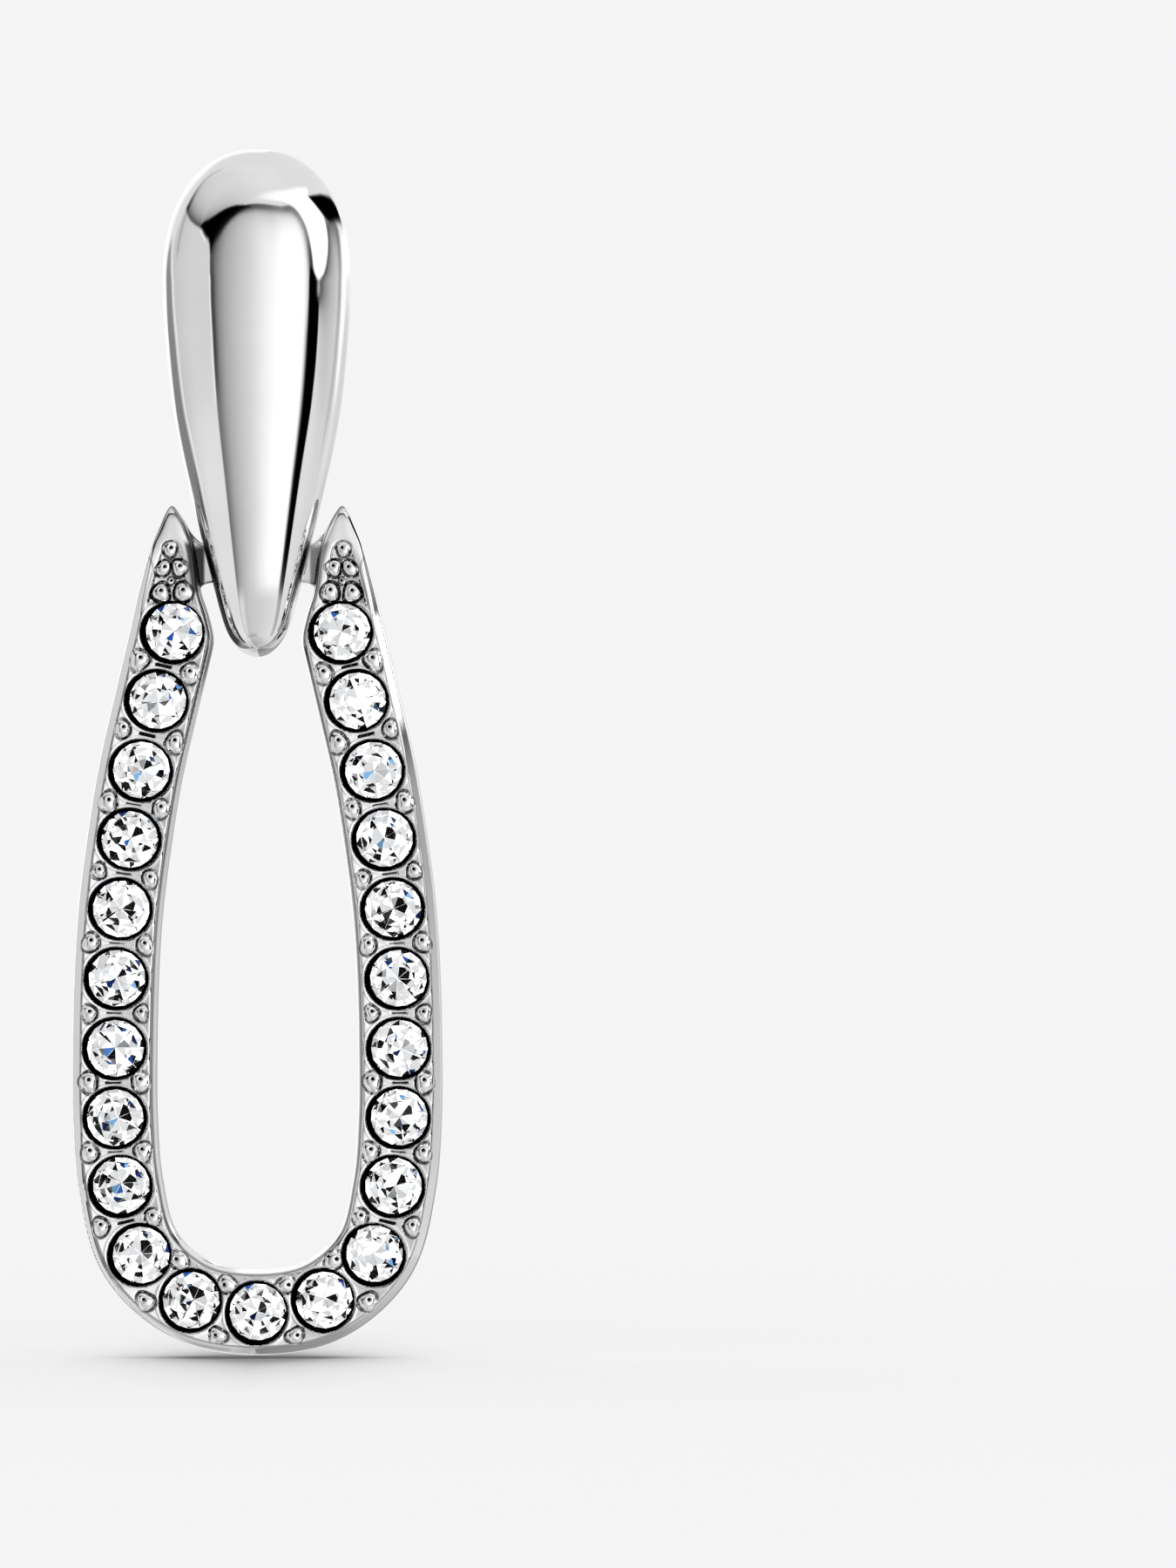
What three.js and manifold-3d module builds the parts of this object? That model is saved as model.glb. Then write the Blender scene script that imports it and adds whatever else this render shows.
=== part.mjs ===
// Door knocker earring: a polished half-teardrop stud carrying a long open
// loop that is set with one row of round crystals and swings on a crossbar.
//
// Millimetres, +Z up, front of the earring towards -Y, wearer's right to -X.
// The origin is where the ear post leaves the flat back of the stud, so the
// front of the ear lobe lies on the plane y = 0.

import * as THREE from "three";
import { mergeVertices } from "three/addons/utils/BufferGeometryUtils.js";
import Module from "manifold-3d";

// ---------------------------------------------------------------- sizes, mm
const PITCH_COUNT = 22;            // gaps between the 23 crystals

const STUD = {
  top: 3.17,                       // top of the teardrop above the post
  widest: -1.0,                    // height of its widest section
  bottom: -13.03,                  // tip of the teardrop
  halfWidth: 3.0,                  // at the widest section
  capPower: 2.2,                   // superellipse power of the round upper end
  tipFrom: -11.4, tipPower: 3.2,   // where the rounded tip begins, and how blunt it is
  depthShare: 1.06,                // depth over half width
  sectionPower: 2.1,               // superellipse power of a cross-section
  backChamfer: 0.14,               // broken edge round the flat back
};

const POST = { radius: 0.4, length: 10.6, socketRadius: 0.46, socketDepth: 1.1, endGap: 0.06 };

const HINGE = {
  y: 0.54, z: -10.06,              // axis of the crossbar, along X
  boreRadius: 0.74,                // eye's bore, and its groove across the stud's back
  eyeRadius: 1.14, eyeLength: 1.5, // knuckle soldered on the stud's back
  barHeight: 1.2, barThick: 0.62, barBevel: 0.14,
};

const BAND = {
  outer: 1.37, inner: 1.31,        // half widths each side of the crystal row
  front: -0.5, back: 1.46,         // depth range
  frontInsetOuter: 0.17, frontInsetInner: 0.1,
  wallInset: 0.04, backInset: 0.3,
};

const CRYSTAL = {
  girdle: 0.93, table: 0.56, crown: 0.3, girdleHeight: 0.07, pavilion: 0.78,
  sunk: 0.04,                      // girdle's top edge below the band's front
};

const SEAT = { radius: 1.03, depth: 0.3, floorRadius: 0.3, floorDepth: 1.0 };

const BEAD = { offset: 0.86, radius: 0.27, shoulder: 0.2, height: 0.34, root: 0.3 };

// ---------------------------------------------------------------- tables
// Half width of the stud below its widest section.
const STUD_ROWS = [
  { z: -1.0, half: 3.0 }, { z: -2.1, half: 2.97 }, { z: -3.2, half: 2.88 },
  { z: -4.3, half: 2.78 }, { z: -5.4, half: 2.62 }, { z: -6.5, half: 2.42 },
  { z: -7.6, half: 2.15 }, { z: -8.75, half: 1.86 }, { z: -9.85, half: 1.6 },
  { z: -11.0, half: 1.32 }, { z: -11.4, half: 1.2 }, { z: -13.0, half: 0.72 },
];

// Centres of the crystals in the right half, from the first down to the lowest.
const ROW_POINTS = [
  { x: 2.68, z: -12.26 }, { x: 3.19, z: -14.43 }, { x: 3.7, z: -16.66 },
  { x: 4.06, z: -18.85 }, { x: 4.34, z: -21.07 }, { x: 4.48, z: -23.29 },
  { x: 4.53, z: -25.52 }, { x: 4.52, z: -27.73 }, { x: 4.34, z: -29.92 },
  { x: 3.73, z: -32.1 }, { x: 2.11, z: -33.55 }, { x: 0, z: -33.95 },
];

// Right horn above the first crystal: inner and outer edge, and how far its
// front and back faces are drawn in as it narrows to the point.
const HORN_ROWS = [
  { z: -8.22, inner: 2.67, outer: 2.77, frontIn: 0.78, backIn: 0.74 },
  { z: -8.42, inner: 2.53, outer: 2.90, frontIn: 0.56, backIn: 0.6 },
  { z: -8.75, inner: 2.31, outer: 3.06, frontIn: 0.36, backIn: 0.42 },
  { z: -9.31, inner: 2.10, outer: 3.31, frontIn: 0.16, backIn: 0.2 },
  { z: -9.86, inner: 1.98, outer: 3.49, frontIn: 0.05, backIn: 0.06 },
  { z: -10.42, inner: 1.90, outer: 3.64, frontIn: 0, backIn: 0 },
  { z: -10.97, inner: 1.82, outer: 3.79, frontIn: 0, backIn: 0 },
  { z: -11.53, inner: 1.62, outer: 3.92, frontIn: 0, backIn: 0 },
];

// Crossbar with its flared ends, right half of the outline in X and Z, from
// the top middle round to the bottom middle.
const BAR_ROWS = [
  { x: 0, dz: 0.6 }, { x: 1.5, dz: 0.6 }, { x: 1.7, dz: 0.62 }, { x: 1.94, dz: 0.78 },
  { x: 2.2, dz: 1.1 }, { x: 2.48, dz: 1.56 }, { x: 2.75, dz: 1.5 }, { x: 2.9, dz: 0.6 },
  { x: 2.9, dz: -0.6 }, { x: 2.4, dz: -1.0 }, { x: 1.95, dz: -0.82 }, { x: 1.72, dz: -0.62 },
  { x: 1.5, dz: -0.6 }, { x: 0, dz: -0.6 },
];

// Bright beads cut on the face of each horn, above the first crystal.
const HORN_BEADS = [
  { x: 3.32, z: -11.0, size: 1.0 }, { x: 2.24, z: -11.02, size: 1.0 },
  { x: 2.8, z: -10.62, size: 0.62 },
  { x: 3.1, z: -10.2, size: 0.78 }, { x: 2.42, z: -10.24, size: 0.86 },
  { x: 2.74, z: -9.52, size: 0.74 },
];

// ---------------------------------------------------------------- helpers
const wasm = await Module();
wasm.setup();

function solid(geometry) {
  const g = geometry.index ? geometry.toNonIndexed() : geometry.clone();
  for (const name of Object.keys(g.attributes)) if (name !== "position") g.deleteAttribute(name);
  const merged = mergeVertices(g, 1e-4);
  return new wasm.Manifold(new wasm.Mesh({
    numProp: 3,
    vertProperties: new Float32Array(merged.attributes.position.array),
    triVerts: new Uint32Array(merged.index.array),
  }));
}

function geometryOf(manifold) {
  const m = manifold.getMesh(), n = m.numProp;
  const position = new Float32Array((m.vertProperties.length / n) * 3);
  for (let i = 0; i < position.length / 3; i++) {
    position.set(m.vertProperties.subarray(i * n, i * n + 3), i * 3);
  }
  const g = new THREE.BufferGeometry();
  g.setAttribute("position", new THREE.BufferAttribute(position, 3));
  g.setIndex(new THREE.BufferAttribute(new Uint32Array(m.triVerts), 1));
  g.computeVertexNormals();
  return g;
}

function join(solids) {
  return solids.reduce((a, b) => a.add(b));
}

// Closed skin over rings of equal length: rings run along the piece, and each
// ring runs anticlockwise as seen from the piece's far end.
function loft(rings) {
  const n = rings[0].length, position = rings.flat(2), index = [];
  for (let r = 0; r + 1 < rings.length; r++) {
    for (let i = 0; i < n; i++) {
      const a = r * n + i, b = r * n + (i + 1) % n, c = a + n, d = b + n;
      index.push(a, b, d, a, d, c);
    }
  }
  const last = (rings.length - 1) * n;
  for (let i = 1; i + 1 < n; i++) {
    index.push(0, i + 1, i);
    index.push(last, last + i, last + i + 1);
  }
  const g = new THREE.BufferGeometry();
  g.setAttribute("position", new THREE.Float32BufferAttribute(position, 3));
  g.setIndex(index);
  return g;
}

// A shape turned about its own axis, with that axis along +Y.
function turned(profile, sides) {
  return new THREE.LatheGeometry(profile.map(([r, y]) => new THREE.Vector2(r, y)), sides);
}

// Value of a column at z, through the table's rows by monotone cubics.
function smooth(rows, key, z) {
  const last = rows.length - 1;
  const slope = (i) => (rows[i + 1][key] - rows[i][key]) / (rows[i + 1].z - rows[i].z);
  const tangent = (i) => {
    if (i === 0) return slope(0);
    if (i === last) return slope(last - 1);
    const a = slope(i - 1), b = slope(i);
    return a * b <= 0 ? 0 : (2 * a * b) / (a + b);
  };
  let i = 0;
  while (i < last - 1 && (z - rows[i + 1].z) * Math.sign(rows[1].z - rows[0].z) > 0) i++;
  const h = rows[i + 1].z - rows[i].z;
  const t = Math.min(1, Math.max(0, (z - rows[i].z) / h));
  const t2 = t * t, t3 = t2 * t;
  return rows[i][key] * (2 * t3 - 3 * t2 + 1) + rows[i + 1][key] * (3 * t2 - 2 * t3)
    + tangent(i) * h * (t3 - 2 * t2 + t) + tangent(i + 1) * h * (t3 - t2);
}

// ---------------------------------------------------------------- the stud
function studHalfWidth(z) {
  if (z >= STUD.widest) {
    const u = (z - STUD.widest) / (STUD.top - STUD.widest), p = STUD.capPower;
    return STUD.halfWidth * Math.max(0, 1 - u ** p) ** (1 / p);
  }
  const half = smooth(STUD_ROWS, "half", z);
  if (z > STUD.tipFrom) return half;
  const t = (STUD.tipFrom - z) / (STUD.tipFrom - STUD.bottom);
  return half * Math.max(0, 1 - t ** STUD.tipPower) ** 0.5;
}

function studRing(z, arcs) {
  const half = studHalfWidth(z), depth = half * STUD.depthShare;
  const c = Math.min(STUD.backChamfer, half * 0.3), ring = [];
  for (let i = 0; i <= arcs; i++) {
    const a = (Math.PI * i) / arcs, p = 2 / STUD.sectionPower;
    const x = half * Math.sign(Math.cos(a)) * Math.abs(Math.cos(a)) ** p;
    ring.push([x, -c - (depth - c) * Math.sin(a) ** p, z]);
  }
  ring.push([-half + c, 0, z], [half - c, 0, z]);
  return ring;
}

function studBody() {
  const arcs = 22, rings = [];
  for (let i = 1; i <= 9; i++) {                                   // round upper end
    const a = (Math.PI / 2) * (1 - i / 9) ** 1.0;
    rings.push(studRing(STUD.widest + (STUD.top - STUD.widest) * Math.sin(Math.min(a, 1.545)), arcs));
  }
  rings.unshift(studRing(STUD.top - 0.004, arcs));
  for (let i = 1; i <= 13; i++) {
    rings.push(studRing(STUD.widest + (STUD.tipFrom - STUD.widest) * (i / 13), arcs));
  }
  for (let i = 1; i <= 7; i++) {                                   // rounded tip
    const t = Math.sin((Math.PI / 2) * (i / 7));
    rings.push(studRing(STUD.tipFrom + (STUD.bottom - STUD.tipFrom) * Math.min(t, 0.999), arcs));
  }
  return solid(loft(rings));
}

function alongX(radius, length, sides) {
  const g = new THREE.CylinderGeometry(radius, radius, length, sides);
  g.rotateZ(Math.PI / 2);
  g.translate(0, HINGE.y, HINGE.z);
  return solid(g);
}

function makeStud() {
  const eye = alongX(HINGE.eyeRadius, HINGE.eyeLength, 32);
  const bore = alongX(HINGE.boreRadius, 8, 32);
  const socket = solid(turned([
    [0, -POST.socketDepth], [POST.socketRadius, -POST.socketDepth], [POST.socketRadius, 0.5], [0, 0.5],
  ], 20));
  return studBody().add(eye).subtract(bore).subtract(socket);
}

function makePost() {
  const r = POST.radius, end = POST.length;
  return turned([
    [0, -POST.socketDepth + POST.endGap], [r, -POST.socketDepth + POST.endGap],
    [r, end - 0.6], [r * 0.86, end - 0.3], [r * 0.5, end - 0.06], [0, end],
  ], 20);
}

// ---------------------------------------------------------------- the loop
const rightRow = ROW_POINTS.map((p) => new THREE.Vector3(p.x, 0, p.z));
const rowCurve = new THREE.CatmullRomCurve3(
  [...rightRow, ...rightRow.slice(0, -1).reverse().map((p) => new THREE.Vector3(-p.x, 0, p.z))],
  false, "centripetal",
);

// Point, and outward direction in the XZ plane, at a share of the row: crystal
// number i sits at a share of i / PITCH_COUNT.
function rowAt(share) {
  const p = rowCurve.getPoint(share), t = rowCurve.getTangent(share);
  const n = new THREE.Vector2(-t.z, t.x).normalize();
  return { x: p.x, z: p.z, nx: n.x, nz: n.y };
}

// Ring of the band between an inner and an outer edge point.
function bandRing(inner, outer, front, back) {
  const dx = outer[0] - inner[0], dz = outer[1] - inner[1], w = Math.hypot(dx, dz);
  const k = Math.min(1, w / (BAND.outer + BAND.inner)), d = back - front;
  const at = (u, y) => [inner[0] + (dx * u) / w, y, inner[1] + (dz * u) / w];
  return [
    at(BAND.wallInset * k, front + d * 0.17),
    at(0, front + d * 0.45),
    at(0, back - d * 0.17),
    at(BAND.backInset * k, back),
    at(w - BAND.backInset * k, back),
    at(w, back - d * 0.17),
    at(w, front + d * 0.45),
    at(w - BAND.wallInset * k, front + d * 0.17),
    at(w - BAND.frontInsetOuter * k, front),
    at(BAND.frontInsetInner * k, front),
  ];
}

function hornRing(row, side) {
  const ring = bandRing([row.inner, row.z], [row.outer, row.z],
    BAND.front + row.frontIn, BAND.back - row.backIn);
  return side > 0 ? ring : ring.map(([x, y, z]) => [-x, y, z]);
}

function bandBody() {
  const rings = HORN_ROWS.map((row) => hornRing(row, 1));
  const steps = PITCH_COUNT * 3;
  for (let i = 0; i <= steps; i++) {
    const c = rowAt(i / steps);
    rings.push(bandRing(
      [c.x - BAND.inner * c.nx, c.z - BAND.inner * c.nz],
      [c.x + BAND.outer * c.nx, c.z + BAND.outer * c.nz],
      BAND.front, BAND.back));
  }
  for (const row of [...HORN_ROWS].reverse()) rings.push(hornRing(row, -1));
  return solid(loft(rings));
}

function crossbar() {
  const right = BAR_ROWS.map((r) => [r.x, HINGE.z + r.dz]);
  const outline = [...right, ...right.slice(1, -1).reverse().map(([x, z]) => [-x, z])];
  const shape = new THREE.Shape(outline.map(([x, z]) => new THREE.Vector2(x, z)));
  const b = HINGE.barBevel;
  const g = new THREE.ExtrudeGeometry(shape, {
    depth: HINGE.barThick - 2 * b, bevelEnabled: true, bevelThickness: b,
    bevelSize: b, bevelOffset: -b, bevelSegments: 2, steps: 1,
  });
  g.rotateX(Math.PI / 2);                       // shape's Y becomes Z, its depth runs to -Y
  g.translate(0, HINGE.y + HINGE.barThick / 2 - b, 0);
  return solid(g);
}

// A copy of a solid moved to a place on the band's face.
function placed(made, x, y, z) {
  return made.translate([x, y, z]);
}

function seatCutter() {
  return solid(turned([
    [0, SEAT.floorDepth], [SEAT.floorRadius, SEAT.floorDepth], [SEAT.radius, SEAT.depth],
    [SEAT.radius, -1.2], [0, -1.2],
  ].reverse(), 20));
}

function beadSolid(size) {
  const r = BEAD.radius * size, h = BEAD.height * (0.6 + 0.4 * size);
  return solid(turned([
    [0, -h], [r * 0.62, -h * 0.86], [r, -BEAD.shoulder * size], [r * 1.08, BEAD.root], [0, BEAD.root],
  ], 6));
}

function makeLoop() {
  let body = bandBody().add(crossbar());
  const seat = seatCutter();
  for (let i = 0; i <= PITCH_COUNT; i++) {
    const c = rowAt(i / PITCH_COUNT);
    body = body.subtract(placed(seat, c.x, BAND.front, c.z));
  }
  const beads = [];
  for (let i = 0; i < PITCH_COUNT; i++) {
    const c = rowAt((i + 0.5) / PITCH_COUNT);
    for (const side of [-1, 1]) {
      beads.push(placed(beadSolid(1), c.x + side * BEAD.offset * c.nx, BAND.front, c.z + side * BEAD.offset * c.nz));
    }
  }
  for (const b of HORN_BEADS) {
    for (const side of [-1, 1]) {
      beads.push(placed(beadSolid(b.size), side * b.x, BAND.front + (b.z > -9.8 ? 0.1 : 0), b.z));
    }
  }
  return body.add(join(beads));
}

// ---------------------------------------------------------------- crystals
// Round chaton, brilliant cut above the girdle: 8 star facets round the table,
// 8 kites and 16 girdle facets, then a thin girdle and a pointed back.
function crystalGeometry() {
  const c = CRYSTAL;
  const every = (i) => i, even = (i) => Math.ceil(i / 2) * 2, odd = (i) => Math.floor(i / 2) * 2 + 1;
  const ring = (r, y, corner) => Array.from({ length: 16 }, (_, i) => {
    const a = (corner(i) / 16) * 2 * Math.PI;
    return [r * Math.cos(a), y, -r * Math.sin(a)];
  });
  return loft([
    ring(c.table, -c.crown, even),
    ring(c.table * 0.4 + c.girdle * 0.6, -c.crown * 0.5, odd),
    ring(c.girdle, 0, every),
    ring(c.girdle, c.girdleHeight, every),
    ring(c.girdle * 0.1, c.girdleHeight + c.pavilion, every),
  ]);
}

// ---------------------------------------------------------------- assembly
const silver = (roughness) => new THREE.MeshStandardMaterial({ color: 0xd9dadc, metalness: 1, roughness });
const clear = new THREE.MeshStandardMaterial({ color: 0xf1f3f6, metalness: 0, roughness: 0.03 });

const earring = new THREE.Group();

function addMesh(parent, name, geometry, material) {
  const mesh = new THREE.Mesh(geometry, material);
  mesh.name = name;
  parent.add(mesh);
  return mesh;
}

addMesh(earring, "teardrop_stud", geometryOf(makeStud()), silver(0.04));
addMesh(earring, "ear_post", makePost(), silver(0.12));

const drop = new THREE.Group();
earring.add(drop);
addMesh(drop, "knocker_loop", geometryOf(makeLoop()), silver(0.08));

const cut = geometryOf(solid(crystalGeometry()));
for (let i = 0; i <= PITCH_COUNT; i++) {
  const c = rowAt(i / PITCH_COUNT);
  const crystal = addMesh(drop, `crystal_${String(i + 1).padStart(2, "0")}`, cut.clone(), clear);
  crystal.position.set(c.x, BAND.front + CRYSTAL.sunk, c.z);
  crystal.rotation.y = Math.atan2(c.nx, c.nz);
}

export default earring;
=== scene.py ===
import math

import bmesh
import bpy
import numpy as np
from mathutils import Matrix, Vector


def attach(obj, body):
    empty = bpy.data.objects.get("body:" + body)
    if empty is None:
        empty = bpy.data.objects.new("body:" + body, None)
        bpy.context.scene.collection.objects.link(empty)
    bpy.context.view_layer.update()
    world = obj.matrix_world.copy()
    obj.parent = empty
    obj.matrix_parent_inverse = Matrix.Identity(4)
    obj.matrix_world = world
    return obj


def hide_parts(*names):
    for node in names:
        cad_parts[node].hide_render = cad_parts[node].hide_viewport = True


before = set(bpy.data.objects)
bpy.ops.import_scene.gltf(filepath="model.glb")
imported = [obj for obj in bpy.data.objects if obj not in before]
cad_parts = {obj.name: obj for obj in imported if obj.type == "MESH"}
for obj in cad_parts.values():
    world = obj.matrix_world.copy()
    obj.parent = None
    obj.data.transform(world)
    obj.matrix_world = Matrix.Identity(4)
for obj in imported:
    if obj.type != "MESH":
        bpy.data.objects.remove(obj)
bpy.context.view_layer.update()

MM = 0.001
scene = bpy.context.scene
scene.view_settings.view_transform = "Standard"
scene.view_settings.look = "None"


# ------------------------------------------------------------------ sizes, mm
# They repeat the CAD model's, finer.
STUD = dict(top=3.17, widest=-1.0, bottom=-13.03, half=3.0, cap=2.2, tip_from=-11.4, tip_power=4.0, depth=1.06, power=2.1, chamfer=0.14)
STUD_ROWS = [  # height, half width
    (-1.0, 3.0), (-2.1, 2.97), (-3.2, 2.885), (-4.3, 2.775), (-5.4, 2.63), (-6.5, 2.42),
    (-7.6, 2.17), (-8.75, 1.895), (-9.85, 1.625), (-11.0, 1.335), (-11.4, 1.23), (-13.0, 0.76),
]
HINGE_Y, HINGE_Z = 0.54, -10.06
ROW = [  # centres of the crystals in the right half
    (2.68, -12.26), (3.19, -14.43), (3.7, -16.66), (4.06, -18.85), (4.34, -21.07), (4.48, -23.29),
    (4.53, -25.52), (4.52, -27.73), (4.34, -29.92), (3.73, -32.1), (2.11, -33.55), (0.0, -33.95),
]
HORN = [  # height, inner edge, outer edge, front drawn in, back drawn in
    (-8.22, 2.64, 2.80, 0.42, 0.70), (-8.42, 2.50, 2.93, 0.27, 0.56), (-8.75, 2.31, 3.06, 0.16, 0.42),
    (-9.31, 2.10, 3.31, 0.06, 0.2), (-9.86, 1.98, 3.49, 0.02, 0.06), (-10.42, 1.90, 3.64, 0.0, 0.0),
    (-10.97, 1.82, 3.79, 0.0, 0.0), (-11.53, 1.62, 3.92, 0.0, 0.0),
]
BAR = [  # crossbar's outline: x, height above the hinge axis
    (0, 0.6), (1.5, 0.6), (1.7, 0.62), (1.94, 0.78), (2.2, 1.1), (2.48, 1.56), (2.75, 1.5), (2.9, 0.6),
    (2.9, -0.6), (2.4, -1.0), (1.95, -0.82), (1.72, -0.62), (1.5, -0.6), (0, -0.6),
]
BAND = dict(outer=1.37, inner=1.31, front=-0.5, back=1.46)
BEVEL = (0.21, 0.10, 0.09, 0.02)        # outer edge's width and depth, inner edge's width and depth
SEAT_ALONG, SEAT_ACROSS, SEAT_DEPTH = 1.0, 1.035, 0.34
GIRDLE_R = 0.905
BEAD_N = 0.84
HORN_BEADS = [  # x, z, radius
    (3.07, -11.02, 0.27), (2.32, -10.98, 0.28), (2.71, -10.62, 0.12),
    (2.97, -10.19, 0.21), (2.47, -10.19, 0.25), (2.77, -9.6, 0.22),
]


# ------------------------------------------------------------------ helpers
def srgb(g):
    c = np.asarray(g, float) / 255.0
    return np.where(c <= 0.04045, c / 12.92, ((c + 0.055) / 1.055) ** 2.4)


def pchip(xs, ys, q):
    """Monotone cubic through (xs, ys), xs ascending."""
    xs, ys, q = (np.asarray(a, float) for a in (xs, ys, q))
    h, d = np.diff(xs), np.diff(ys) / np.diff(xs)
    m = np.zeros(len(xs))
    same = d[:-1] * d[1:] > 0
    m[1:-1][same] = 2 * d[:-1][same] * d[1:][same] / (d[:-1][same] + d[1:][same])
    m[0], m[-1] = d[0], d[-1]
    i = np.clip(np.searchsorted(xs, q) - 1, 0, len(xs) - 2)
    t = np.clip((q - xs[i]) / h[i], 0, 1)
    t2, t3 = t * t, t * t * t
    return (ys[i] * (2 * t3 - 3 * t2 + 1) + ys[i + 1] * (3 * t2 - 2 * t3)
            + m[i] * h[i] * (t3 - 2 * t2 + t) + m[i + 1] * h[i] * (t3 - t2))


def smoothstep(a, b, x):
    t = np.clip((x - a) / (b - a), 0, 1)
    return t * t * (3 - 2 * t)


def make_object(name, verts, faces, smooth=True, normals=None):
    me = bpy.data.meshes.new(name)
    me.from_pydata([tuple(v) for v in (np.asarray(verts) * MM).tolist()], [], [tuple(f) for f in faces])
    me.update()
    if smooth:
        me.polygons.foreach_set("use_smooth", np.ones(len(me.polygons), bool))
    ob = bpy.data.objects.new(name, me)
    scene.collection.objects.link(ob)
    if normals is not None:
        me.normals_split_custom_set_from_vertices([tuple(n) for n in normals])
    return ob


def segment_distance(px, pz, poly, closed=True):
    """Distance from points to a polyline, and whether they are inside it if closed."""
    poly = np.asarray(poly, float)
    a = poly
    b = np.roll(poly, -1, axis=0) if closed else poly[1:]
    if not closed:
        a = poly[:-1]
    out = np.full(px.shape, 1e9)
    inside = np.zeros(px.shape, bool)
    for (ax, az), (bx, bz) in zip(a, b):
        ex, ez = bx - ax, bz - az
        L = ex * ex + ez * ez
        if L < 1e-18:
            continue
        t = np.clip(((px - ax) * ex + (pz - az) * ez) / L, 0, 1)
        d = (px - ax - t * ex) ** 2 + (pz - az - t * ez) ** 2
        np.minimum(out, d, out=out)
        if closed and abs(ez) > 1e-12:
            cross = ((az > pz) != (bz > pz)) & (px < ex * (pz - az) / ez + ax)
            inside ^= cross
    return np.sqrt(out), inside


# ------------------------------------------------------------------ materials
def node_material(name):
    m = bpy.data.materials.new(name)
    m.use_nodes = True
    nt = m.node_tree
    bsdf = nt.nodes["Principled BSDF"]
    return m, nt, bsdf


def add(nt, kind, **values):
    n = nt.nodes.new(kind)
    for k, v in values.items():
        setattr(n, k, v)
    return n


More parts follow.
